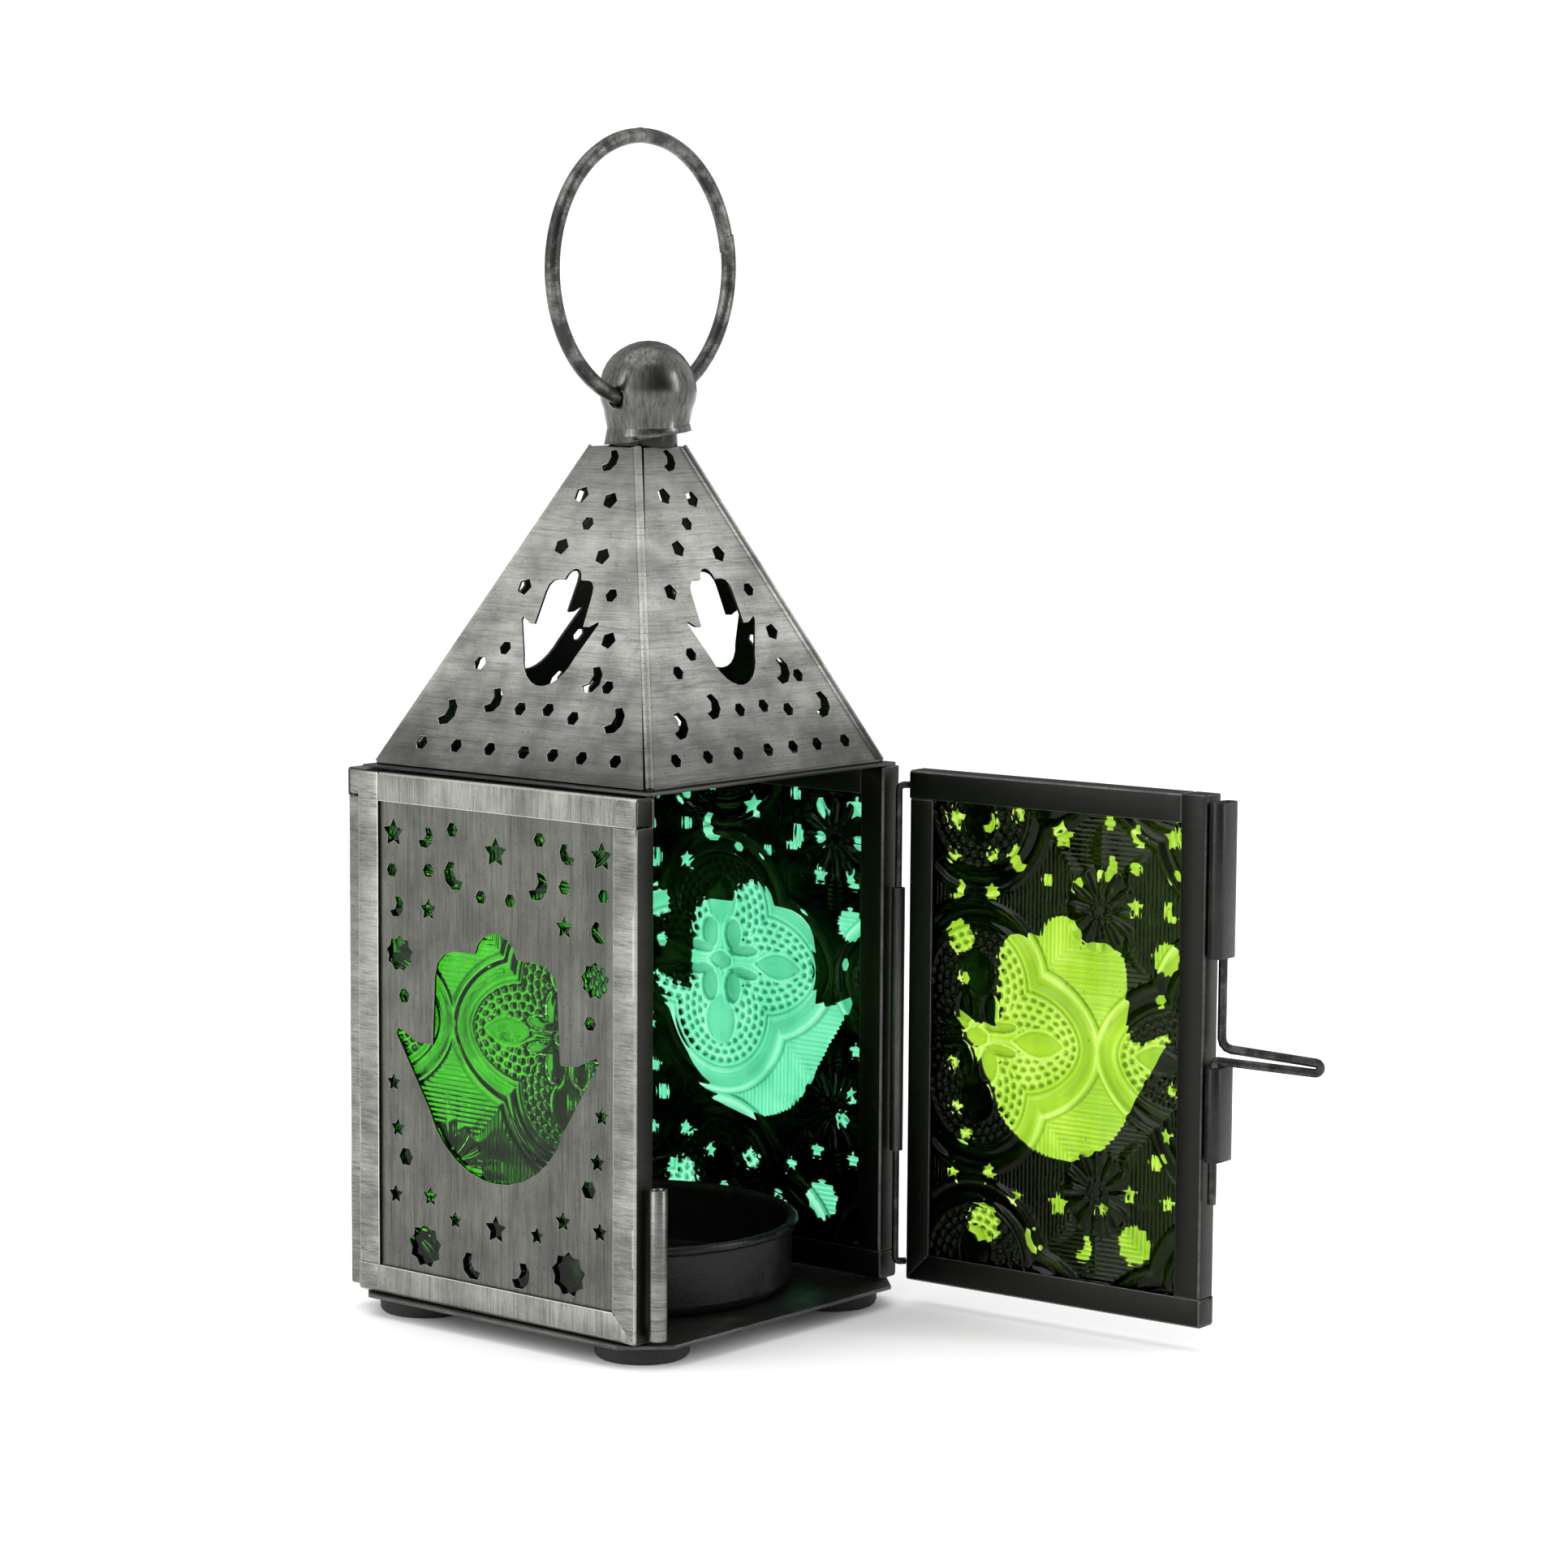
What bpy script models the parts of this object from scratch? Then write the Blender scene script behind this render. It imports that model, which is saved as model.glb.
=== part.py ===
"""Moroccan metal lantern: a glazed and pierced tin box with a hinged door, a hipped roof and a carry ring.

Every piece is its own object. The box stands on four pads, the door hangs on a wire pin in a rolled
barrel, a wire bolt slides in two sleeves on the door's free edge, and the carry ring swings in two
holes of the hollow finial. Lengths are in metres, +Z is up, and the origin is the middle of the
footprint, with the door open, on the surface that the pads stand on.
"""

import math

import bmesh
import bpy
from mathutils import Matrix, Vector

MM = 0.001

# Sheet metal and the clearances between pieces
TIN = 0.35 * MM
SEAT_GAP = 0.2 * MM
SLIP_GAP = 0.2 * MM

# Pads and base
FOOT_RADIUS = 5.85 * MM
FOOT_HEIGHT = 2.2 * MM
FOOT_EDGE = 0.6 * MM
FOOT_INSET = 7.7 * MM
BASE_MARGIN = 0.6 * MM
BASE_THICKNESS = 0.5 * MM
BASE_CHAMFER = 5.0 * MM

# The four glazed panels
BODY_WIDTH = 50.8 * MM
CORNER_STEP = 2.1 * MM
PANEL_HEIGHT = 66.1 * MM
PANEL_DEPTH = 3.5 * MM
PATTERN_RISE = 1.5 * MM
RAIL_FACE = 3.6 * MM
MITRE_GAP = 0.15 * MM
EDGE_PLAY = 0.3 * MM

# Door, hinge and latch
DOOR_LIFT = 0.1 * MM
DOOR_DROP_FROM_TOP = 0.3 * MM
DOOR_OPEN_DEGREES = 93.0
HINGE_INSET = 1.7 * MM
HINGE_SEAT_GAP = 0.275 * MM
HINGE_EDGE_PLAY = 0.605 * MM
HINGE_FACE_GAP = 0.1 * MM
PIN_RADIUS = 0.475 * MM
PIN_BEND = 0.6 * MM
PIN_LEG_GAP = 0.48 * MM
PIN_END_MARGIN = 2.3 * MM
BARREL_RUNNING_GAP = 0.1 * MM
BARREL_WALL = 0.3 * MM
BARREL_FROM_BOTTOM = 16.8 * MM
BARREL_FROM_TOP = 15.4 * MM
BOLT_RADIUS = 0.575 * MM
BOLT_RUNNING_GAP = 0.175 * MM
SLEEVE_WALL = 0.3 * MM
SLEEVE_EDGE_GAP = 0.32 * MM
BOLT_UPPER_DEPTH = 2.2 * MM
BOLT_LOWER_DEPTH = 0.45 * MM
SLEEVE_DEPTH_RANGE = (0.5 * MM, 2.9 * MM)
SLEEVE_ABOVE_KEEPER = 2.0 * MM
LOWER_SLEEVE_LENGTH = 11.6 * MM
GRIP_ROOM = 13.4 * MM
UPPER_SLEEVE_FROM_TOP = 1.1 * MM
BOLT_IN_UPPER_SLEEVE = 10.0 * MM
BOLT_IN_KEEPER = 3.2 * MM
GRIP_REACH = 12.0 * MM
GRIP_TURN_DEGREES = 25.0
GRIP_DROOP = 1.4 * MM
GRIP_LEG_GAP = 0.15 * MM
KEEPER_WALL = 0.35 * MM
KEEPER_RUNNING_GAP = 0.225 * MM
KEEPER_BOTTOM = 0.6 * MM
KEEPER_TOP = 19.0 * MM
KEEPER_INSET = 2.45 * MM

# Tealight cup
CUP_SIDE_GAP = 0.4 * MM
CUP_RIM_OVERHANG = 0.8 * MM
CUP_HEIGHT = 9.0 * MM
CUP_BEAD = 1.3 * MM
CUP_WALL = 0.4 * MM
CUP_CORNER = 1.2 * MM

# Roof and finial
EAVES_INSET = 1.6 * MM
EAVES_FACE = 3.3 * MM
EAVES_THICKNESS = 0.4 * MM
ROOF_INSET = 1.1 * MM
ROOF_TOP_HALF = 4.3 * MM
ROOF_HEIGHT = 39.6 * MM
ROOF_TOP_SHIFT = Vector((0.5 * MM, -0.6 * MM, 0.0))
FINIAL_SHIFT = Vector((1.3 * MM, -1.55 * MM, 0.0))
BALL_RADIUS = 6.1 * MM
BALL_RISE = 7.1 * MM
FINIAL_WALL = 0.5 * MM
NECK_INSET = 0.95 * MM
NECK_RISE = 2.3 * MM
SKIRT_OVERHANG = 0.32 * MM
SKIRT_SLANT_DEGREES = 8.0
SKIRT_LOW_SIDE_DEGREES = 130.0

# Carry ring
RING_RADIUS = 16.55 * MM
RING_WIRE_RADIUS = 0.95 * MM
RING_TURN_DEGREES = -2.0
RING_LEAN_DEGREES = 4.0
RING_HOLE_CLEARANCE = 0.4 * MM

# Facets of round shapes
WIRE_BEVEL_RESOLUTION = 2
TUBE_SIDES = 16
DOT_SIDES = 6
TURNED_STEPS = 28
RING_STEPS = 40

# Sizes that follow from the ones above
BODY_HALF = BODY_WIDTH / 2
PANEL_WIDTH = BODY_WIDTH - 2 * CORNER_STEP
BASE_HALF = BODY_HALF + BASE_MARGIN
FOOT_OFFSET = BASE_HALF - FOOT_INSET
CUP_RIM_RADIUS = BODY_HALF - PANEL_DEPTH - CUP_SIDE_GAP
CUP_RADIUS = CUP_RIM_RADIUS - CUP_RIM_OVERHANG
EAVES_HALF = BODY_HALF - EAVES_INSET
ROOF_BASE_HALF = EAVES_HALF - ROOF_INSET
NECK_RADIUS = BALL_RADIUS - NECK_INSET
SKIRT_RADIUS = math.sqrt(2) * ROOF_TOP_HALF + SKIRT_OVERHANG

# Levels, counted up from the surface that the lantern stands on
BASE_BOTTOM = FOOT_HEIGHT + SEAT_GAP
BASE_TOP = BASE_BOTTOM + BASE_THICKNESS
PANEL_BOTTOM = BASE_TOP + SEAT_GAP
PANEL_TOP = PANEL_BOTTOM + PANEL_HEIGHT
EAVES_BOTTOM = PANEL_TOP + SEAT_GAP
ROOF_BOTTOM = EAVES_BOTTOM + EAVES_THICKNESS + SEAT_GAP
ROOF_TOP = ROOF_BOTTOM + ROOF_HEIGHT
BALL_CENTRE = ROOF_TOP + BALL_RISE

# Colour, metallic and roughness of each finish
ANTIQUE_TIN = ((0.42, 0.42, 0.39), 1.0, 0.36)
ROOF_TIN = ((0.47, 0.47, 0.44), 1.0, 0.33)
DARK_TIN = ((0.05, 0.05, 0.05), 0.9, 0.42)
DARK_WIRE = ((0.12, 0.12, 0.115), 1.0, 0.3)
PAD_RUBBER = ((0.02, 0.02, 0.02), 0.0, 0.7)
GREEN_GLASS = ((0.06, 0.45, 0.03), 0.0, 0.12)
TEAL_GLASS = ((0.05, 0.45, 0.22), 0.0, 0.12)
LIME_GLASS = ((0.30, 0.75, 0.04), 0.0, 0.12)


# ---- Objects, materials and parents ----------------------------------------------------------------


def clear_scene():
    for obj in list(bpy.data.objects):
        bpy.data.objects.remove(obj, do_unlink=True)


def dress(obj, finish):
    """Gives the object a material of its own: a Principled BSDF with the finish's three values."""
    color, metallic, roughness = finish
    material = bpy.data.materials.new(obj.name + "_finish")
    material.use_nodes = True
    shader = material.node_tree.nodes["Principled BSDF"]
    shader.inputs["Base Color"].default_value = (*color, 1.0)
    shader.inputs["Metallic"].default_value = metallic
    shader.inputs["Roughness"].default_value = roughness
    obj.data.materials.append(material)


def add_object(name, data, finish, parent, matrix=None):
    obj = bpy.data.objects.new(name, data)
    bpy.context.scene.collection.objects.link(obj)
    obj.parent = parent
    obj.matrix_local = matrix or Matrix.Identity(4)
    if finish:
        dress(obj, finish)
    return obj


def add_empty(name, parent, location=(0, 0, 0), turn_degrees=0.0):
    empty = bpy.data.objects.new(name, None)
    bpy.context.scene.collection.objects.link(empty)
    empty.parent = parent
    empty.location = location
    empty.rotation_euler.z = math.radians(turn_degrees)
    return empty


def mesh_from(name, bm):
    """The bmesh as mesh data, merged, facing out, smooth on its round parts and sharp on its edges."""
    bmesh.ops.remove_doubles(bm, verts=bm.verts, dist=0.002 * MM)
    bmesh.ops.recalc_face_normals(bm, faces=bm.faces)
    mesh = bpy.data.meshes.new(name)
    bm.to_mesh(mesh)
    bm.free()
    mesh.shade_smooth()
    mesh.set_sharp_from_angle(angle=math.radians(35))
    return mesh


# ---- Plane outlines: lists of (x, z) points --------------------------------------------------------


def arc(x, z, radius, start, end, steps, squash=1.0):
    """Points on an arc, from one angle to another in degrees, both ends included."""
    angles = [math.radians(start + (end - start) * i / steps) for i in range(steps + 1)]
    return [(x + radius * math.cos(a), z + squash * radius * math.sin(a)) for a in angles]


def disc(x, z, radius, sides=DOT_SIDES):
    return arc(x, z, radius, 0, 360, sides)[:-1]


def rectangle(half_width, half_height, x=0.0, z=0.0):
    w, h = half_width, half_height
    return [(x - w, z - h), (x + w, z - h), (x + w, z + h), (x - w, z + h)]


def stadium(x, half_width, low, high, steps=6):
    """A slot outline with round ends, running between two heights."""
    return arc(x, high, half_width, 0, 180, steps) + arc(x, low, half_width, 180, 360, steps)


def star(x, z, radius, points=5, inner=0.52):
    outline = []
    for i in range(2 * points):
        r = radius if i % 2 == 0 else radius * inner
        a = math.radians(90 + 180 * i / points)
        outline.append((x + r * math.cos(a), z + r * math.sin(a)))
    return outline


def rosette(x, z, radius, lobes=9, notch=0.82):
    """A scalloped disc: one point on each lobe and one in each notch between lobes."""
    return star(x, z, radius, lobes, notch)


def moon(x, z, height, facing):
    """A crescent whose round back faces the given direction in degrees."""
    half = height / 2
    back = arc(0, 0, half, -80, 80, 4)
    hollow = arc(-0.55 * half, 0, 0.72 * half, 70, -70, 3)
    turn = math.radians(facing)
    return [
        (x + px * math.cos(turn) - pz * math.sin(turn), z + px * math.sin(turn) + pz * math.cos(turn))
        for px, pz in back + hollow
    ]


def hand(x, z, scale_x=1.0, scale_z=1.0):
    """An open hand: three round-topped fingers, two out-turned thumbs and a round palm."""
    right = arc(0, 11.0, 3.6, 78, 12, 3)
    right += [(3.8, 11.7)]
    right += arc(6.9, 8.3, 3.4, 90, 0, 3)
    right += [(10.7, -0.4), (13.4, -0.3), (16.7, 1.2), (17.0, 0.4)]
    right += arc(0, -4.5, 12.0, -20, -80, 5)
    left = [(-px, pz) for px, pz in reversed(right)]
    points = [(0.0, 14.6)] + right + [(0.0, -16.5)] + left
    return [(x + px * scale_x * MM, z + pz * scale_z * MM) for px, pz in points]


# ---- Solids ----------------------------------------------------------------------------------------


def flat_mesh(name, outline, holes=()):
    """A filled flat face in the XZ plane, with holes."""
    bm = bmesh.new()
    for loop in [outline, *holes]:
        corners = [bm.verts.new((x, 0.0, z)) for x, z in loop]
        for first, second in zip(corners, corners[1:] + corners[:1]):
            bm.edges.new((first, second))
    bmesh.ops.triangle_fill(bm, edges=bm.edges, use_beauty=True)
    mesh = bpy.data.meshes.new(name)
    bm.normal_update()
    if sum(face.normal.y for face in bm.faces) > 0:
        bmesh.ops.reverse_faces(bm, faces=bm.faces)
    bm.to_mesh(mesh)
    bm.free()
    return mesh


def add_plate(name, outline, thickness, finish, parent, matrix, holes=()):
    """A flat plate whose outline lies in its local XZ plane, and which is solid from there to +Y."""
    plate = add_object(name, flat_mesh(name, outline, holes), finish, parent, matrix)
    solidify = plate.modifiers.new("thickness", "SOLIDIFY")
    solidify.thickness = thickness
    solidify.offset = -1.0
    solidify.use_even_offset = False
    return plate


def lying(x=0.0, y=0.0, z=0.0):
    """Lays a plate's outline flat, its local Z towards -Y, with its thickness going up from z."""
    return Matrix.Translation((x, y, z)) @ Matrix.Rotation(math.radians(90), 4, "X")


def add_turned(name, profile, finish, parent, location=(0, 0, 0), closed=False):
    """A solid turned about its local Z axis from (radius, height) points."""
    bm = bmesh.new()
    points = [bm.verts.new((radius, 0.0, height)) for radius, height in profile]
    pairs = list(zip(points, points[1:] + points[:1])) if closed else list(zip(points, points[1:]))
    edges = [bm.edges.new(pair) for pair in pairs]
    bmesh.ops.spin(
        bm, geom=points + edges, cent=(0, 0, 0), axis=(0, 0, 1), angle=math.tau, steps=TURNED_STEPS
    )
    return add_object(name, mesh_from(name, bm), finish, parent, Matrix.Translation(location))


def add_tube(name, outer, inner, length, finish, parent, matrix):
    return add_plate(name, outer, length, finish, parent, matrix, holes=[inner])


def bent(route, radii):
    """The route's points with each inner corner rounded by an arc of its own radius."""
    points = [Vector(route[0])]
    for before, corner, after, radius in zip(route, route[1:], route[2:], radii):
        corner = Vector(corner)
        back = (Vector(before) - corner).normalized()
        ahead = (Vector(after) - corner).normalized()
        half_angle = back.angle(ahead) / 2
        reach = radius / math.tan(half_angle)
        centre = corner + (back + ahead).normalized() * (radius / math.sin(half_angle))
        start = corner + back * reach - centre
        sweep = math.pi - 2 * half_angle
        axis = start.cross(corner + ahead * reach - centre).normalized()
        steps = max(2, round(math.degrees(sweep) / 25))
        points += [centre + Matrix.Rotation(sweep * i / steps, 3, axis) @ start for i in range(steps + 1)]
    return points + [Vector(route[-1])]


def add_wire(name, points, radius, finish, parent, cyclic=False, matrix=None):
    curve = bpy.data.curves.new(name, "CURVE")
    curve.dimensions = "3D"
    curve.bevel_depth = radius
    curve.bevel_resolution = WIRE_BEVEL_RESOLUTION
    curve.use_fill_caps = True
    spline = curve.splines.new("POLY")
    spline.points.add(len(points) - 1)
    for point, place in zip(spline.points, points):
        point.co = (*place, 1.0)
    spline.use_cyclic_u = cyclic
    spline.use_smooth = True
    return add_object(name, curve, finish, parent, matrix)


# ---- Base: pads, plate and cup ---------------------------------------------------------------------


def build_feet(root):
    profile = [
        (0.0, 0.0),
        (FOOT_RADIUS - FOOT_EDGE, 0.0),
        (FOOT_RADIUS - 0.3 * FOOT_EDGE, 0.3 * FOOT_EDGE),
        (FOOT_RADIUS, FOOT_EDGE),
        (FOOT_RADIUS, FOOT_HEIGHT),
        (0.0, FOOT_HEIGHT),
    ]
    for side, x in (("left", -FOOT_OFFSET), ("right", FOOT_OFFSET)):
        for end, y in (("front", -FOOT_OFFSET), ("rear", FOOT_OFFSET)):
            add_turned(f"{end}_{side}_foot", profile, PAD_RUBBER, root, (x, y, 0.0))


def build_base(root):
    half, cut = BASE_HALF, BASE_HALF - BASE_CHAMFER
    outline = [(half, -cut), (half, cut), (cut, half), (-cut, half)]
    outline += [(-x, -y) for x, y in outline]
    add_plate("base_plate", outline, BASE_THICKNESS, ANTIQUE_TIN, root, lying(z=BASE_BOTTOM))


def build_cup(root):
    """An open cup with a rolled bead on its rim, which holds one tealight."""
    inner = CUP_RADIUS - CUP_WALL
    bead = CUP_BEAD / 2
    bead_ring = arc(CUP_RIM_RADIUS - bead, CUP_HEIGHT - bead, bead, -60, 180, 5)
    outer_side = [(0.0, 0.0), (CUP_RADIUS - CUP_CORNER, 0.0), (CUP_RADIUS, CUP_CORNER)]
    outer_side += [(CUP_RADIUS, CUP_HEIGHT - CUP_BEAD)]
    inner_side = [(inner, CUP_HEIGHT - CUP_BEAD), (inner, CUP_CORNER)]
    inner_side += [(inner - CUP_CORNER, CUP_WALL), (0.0, CUP_WALL)]
    profile = outer_side + bead_ring + inner_side
    add_turned("tealight_cup", profile, DARK_TIN, root, (0, 0, PANEL_BOTTOM))


# ---- Glazed panels ---------------------------------------------------------------------------------


def add_rail(name, length, finish, parent, matrix):
    """A channel of folded tin along X with its back at z = 0, open upwards and mitred at both ends."""
    outline = [
        (0.0, 0.0),
        (PANEL_DEPTH, 0.0),
        (PANEL_DEPTH, RAIL_FACE),
        (PANEL_DEPTH - TIN, RAIL_FACE),
        (PANEL_DEPTH - TIN, TIN),
        (TIN, TIN),
        (TIN, RAIL_FACE),
        (0.0, RAIL_FACE),
    ]
    bm = bmesh.new()
    ends = []
    for side in (-1, 1):
        reach = [side * (length / 2 - MITRE_GAP - z) for _, z in outline]
        ends.append([bm.verts.new((x, y, z)) for x, (y, z) in zip(reach, outline)])
        bm.faces.new(ends[-1])
    for i in range(len(outline)):
        j = (i + 1) % len(outline)
        bm.faces.new((ends[0][i], ends[0][j], ends[1][j], ends[1][i]))
    add_object(name, mesh_from(name, bm), finish, parent, matrix)


def fitted(holes, scale_x, scale_z):
    return [[(x * scale_x, z * scale_z) for x, z in hole] for hole in holes]


def pierced_pattern(opening_half_width, opening_half_height, rise):
    """The holes of one panel's sheet, from its middle: each row's right half, and its mirror image.

    The rows are set out for an opening 39.4 by 58.9 mm, drawn in or out to fit this one, and lifted
    by the rise.
    """
    stars = [(17.4, 25.6, 1.85), (11.4, 16.5, 1.45), (17.5, -5.9, 1.2), (16.8, -11.6, 1.25)]
    stars += [(17.2, -20.1, 1.25), (11.2, -19.6, 1.3), (6.9, -22.0, 1.15)]
    middle_stars = [(24.6, 1.95), (-22.2, 1.85)]
    moons = [(12.1, 25.6, 3.0, 215), (6.7, 21.3, 4.0, -30), (17.2, 16.5, 3.0, 205), (3.8, -27.2, 3.8, -30)]
    dots = [(7.3, 26.8, 0.95), (17.7, 20.9, 0.9), (11.4, 21.4, 0.95), (2.45, 18.9, 0.9)]
    dots += [(15.6, 5.25, 0.95), (15.4, -15.1, 1.2)]
    rosettes = [(16.4, 10.5, 2.3), (12.1, -26.0, 2.8)]
    holes = [star(0.0, z * MM, r * MM) for z, r in middle_stars]
    for side in (1, -1):
        holes += [star(side * x * MM, z * MM, r * MM) for x, z, r in stars]
        holes += [disc(side * x * MM, z * MM, r * MM) for x, z, r in dots]
        holes += [rosette(side * x * MM, z * MM, r * MM) for x, z, r in rosettes]
        for x, z, height, facing in moons:
            turned = facing if side == 1 else 180 - facing
            holes.append(moon(side * x * MM, z * MM, height * MM, turned))
    scale_x = opening_half_width / (19.7 * MM)
    scale_z = opening_half_height / (29.45 * MM)
    return [[(x, z + rise) for x, z in hole] for hole in fitted([hand(0.0, 0.0), *holes], scale_x, scale_z)]


def build_panel(names, width, height, glass_finish, parent, place, rise=0.0):
    """A frame of four mitred rails holding a pierced sheet outside and a pane of glass inside.

    The panel's outer face lies in its local XZ plane, looks towards -Y and stands on z = 0. The
    sheet's pattern sits above the middle by the rise.
    """
    middle = place @ Matrix.Translation((0, 0, height / 2))
    sides = (("bottom_rail", width, height, 0), ("right_stile", height, width, -90))
    sides += (("top_rail", width, height, 180), ("left_stile", height, width, 90))
    for part, length, across, turn in sides:
        turned = middle @ Matrix.Rotation(math.radians(turn), 4, "Y")
        matrix = turned @ Matrix.Translation((0, 0, -across / 2))
        add_rail(names[part], length, ANTIQUE_TIN, parent, matrix)
    sheet = rectangle(width / 2 - TIN - EDGE_PLAY, height / 2 - TIN - EDGE_PLAY)
    sheet_depth = TIN + SLIP_GAP
    glass_depth = sheet_depth + TIN + SLIP_GAP
    glass_thickness = PANEL_DEPTH - TIN - SLIP_GAP - glass_depth
    sheet_place = middle @ Matrix.Translation((0, sheet_depth, 0))
    glass_place = middle @ Matrix.Translation((0, glass_depth, 0))
    pattern = pierced_pattern(width / 2 - RAIL_FACE, height / 2 - RAIL_FACE, rise)
    add_plate(names["sheet"], sheet, TIN, ANTIQUE_TIN, parent, sheet_place, pattern)
    add_plate(names["glass"], sheet, glass_thickness, glass_finish, parent, glass_place)


def panel_names(panel, left_edge, right_edge):
    """Node names of one panel's pieces. Left and right are as seen from outside."""
    return {
        "bottom_rail": f"{panel}_bottom_rail",
        "top_rail": f"{panel}_top_rail",
        "left_stile": f"{panel}_{left_edge}_stile",
        "right_stile": f"{panel}_{right_edge}_stile",
        "sheet": f"{panel}_pierced_sheet",
        "glass": f"{panel}_glass",
    }


def build_walls(root):
    """The two side panels and the rear panel, which laps over the side panels' rear ends."""
    rear_y = PANEL_WIDTH / 2 + SEAT_GAP + PANEL_DEPTH
    walls = (
        ("left", "rear", "front", GREEN_GLASS, (-BODY_HALF, 0), -90, 0.0),
        ("right", "front", "rear", TEAL_GLASS, (BODY_HALF, 0), 90, PATTERN_RISE),
        ("rear", "right", "left", GREEN_GLASS, (0, rear_y), 180, 0.0),
    )
    for panel, left_edge, right_edge, glass, (x, y), turn, rise in walls:
        place = Matrix.Translation((x, y, PANEL_BOTTOM)) @ Matrix.Rotation(math.radians(turn), 4, "Z")
        names = panel_names(panel, left_edge, right_edge)
        build_panel(names, PANEL_WIDTH, PANEL_HEIGHT, glass, root, place, rise)


# ---- Door, hinge and latch -------------------------------------------------------------------------

BARREL_BORE = PIN_RADIUS + BARREL_RUNNING_GAP
BARREL_RADIUS = BARREL_BORE + BARREL_WALL
HINGE_X = BODY_HALF - HINGE_INSET
HINGE_Y = -PANEL_WIDTH / 2 - HINGE_SEAT_GAP - BARREL_RADIUS
HINGE_EDGE_GAP = BARREL_RADIUS + HINGE_EDGE_PLAY
SLEEVE_BORE = BOLT_RADIUS + BOLT_RUNNING_GAP
SLEEVE_RADIUS = SLEEVE_BORE + SLEEVE_WALL
KEEPER_X = -BODY_HALF + KEEPER_INSET
BOLT_OFFSET = HINGE_X - KEEPER_X
DOOR_WIDTH = BOLT_OFFSET - SLEEVE_RADIUS - SLEEVE_EDGE_GAP - HINGE_EDGE_GAP
DOOR_HEIGHT = PANEL_HEIGHT - DOOR_LIFT - DOOR_DROP_FROM_TOP
LOWER_SLEEVE_BOTTOM = KEEPER_TOP + SLEEVE_ABOVE_KEEPER
LOWER_SLEEVE_TOP = LOWER_SLEEVE_BOTTOM + LOWER_SLEEVE_LENGTH
UPPER_SLEEVE_BOTTOM = LOWER_SLEEVE_TOP + GRIP_ROOM
UPPER_SLEEVE_LENGTH = PANEL_HEIGHT - UPPER_SLEEVE_FROM_TOP - UPPER_SLEEVE_BOTTOM


def build_door(hinge):
    """The door, closed across the front in the hinge's own frame, reaching towards -X."""
    outer_y = -(HINGE_FACE_GAP + PANEL_DEPTH)
    middle_x = -(HINGE_EDGE_GAP + DOOR_WIDTH / 2)
    place = Matrix.Translation((middle_x, outer_y, PANEL_BOTTOM + DOOR_LIFT))
    names = panel_names("door", "latch", "hinge")
    build_panel(names, DOOR_WIDTH, DOOR_HEIGHT, LIME_GLASS, hinge, place, PATTERN_RISE)


def build_hinge(root, hinge):
    """A rolled barrel on the right panel's front end, and the door's staple-shaped wire pin inside it."""
    bore = disc(0, 0, BARREL_BORE, TUBE_SIDES)
    wall = disc(0, 0, BARREL_RADIUS, TUBE_SIDES)
    length = PANEL_HEIGHT - BARREL_FROM_BOTTOM - BARREL_FROM_TOP
    place = lying(HINGE_X, HINGE_Y, PANEL_BOTTOM + BARREL_FROM_BOTTOM)
    add_tube("hinge_barrel", wall, bore, length, ANTIQUE_TIN, root, place)
    low = PANEL_BOTTOM + PIN_END_MARGIN
    high = PANEL_TOP - PIN_END_MARGIN
    reach = HINGE_EDGE_GAP - PIN_LEG_GAP
    leg = (-reach, -reach)
    route = [(*leg, low), (0, 0, low), (0, 0, high), (*leg, high)]
    add_wire("hinge_pin", bent(route, (PIN_BEND, PIN_BEND)), PIN_RADIUS, DARK_WIRE, hinge)


def build_sleeves(hinge):
    """Two flat sleeves on the door's free edge, in which the bolt slides."""
    low, high = SLEEVE_DEPTH_RANGE
    outer = stadium(-BOLT_OFFSET, SLEEVE_RADIUS, low, high)
    inner = stadium(-BOLT_OFFSET, SLEEVE_BORE, low, high)
    for name, bottom, length in (
        ("lower_latch_sleeve", LOWER_SLEEVE_BOTTOM, LOWER_SLEEVE_LENGTH),
        ("upper_latch_sleeve", UPPER_SLEEVE_BOTTOM, UPPER_SLEEVE_LENGTH),
    ):
        add_tube(name, outer, inner, length, DARK_TIN, hinge, lying(z=PANEL_BOTTOM + bottom))


def build_bolt(slide):
    """One wire: a straight upper run, a hairpin grip that sticks out, and a lower leg set closer in."""
    upper = (-BOLT_OFFSET, -BOLT_UPPER_DEPTH)
    lower = (-BOLT_OFFSET, -BOLT_LOWER_DEPTH)
    leg_drop = 2 * BOLT_RADIUS + GRIP_LEG_GAP
    turn = math.radians(GRIP_TURN_DEGREES)
    tip_x = upper[0] - GRIP_REACH * math.cos(turn)
    tip_y = upper[1] - GRIP_REACH * math.sin(turn)
    lower_root = PANEL_BOTTOM + LOWER_SLEEVE_TOP + SEAT_GAP + BOLT_RADIUS + GRIP_LEG_GAP
    upper_root = lower_root + leg_drop
    tip_z = upper_root - GRIP_DROOP
    route = [
        (*upper, PANEL_BOTTOM + UPPER_SLEEVE_BOTTOM + BOLT_IN_UPPER_SLEEVE),
        (*upper, upper_root),
        (tip_x, tip_y, tip_z),
        (tip_x, tip_y, tip_z - leg_drop),
        (*lower, lower_root),
        (*lower, PANEL_BOTTOM + KEEPER_TOP - BOLT_IN_KEEPER),
    ]
    tip_bend = 0.48 * leg_drop
    add_wire("latch_bolt", bent(route, (1.4 * MM, tip_bend, tip_bend, 0.5 * MM)), BOLT_RADIUS, DARK_WIRE, slide)


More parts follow.
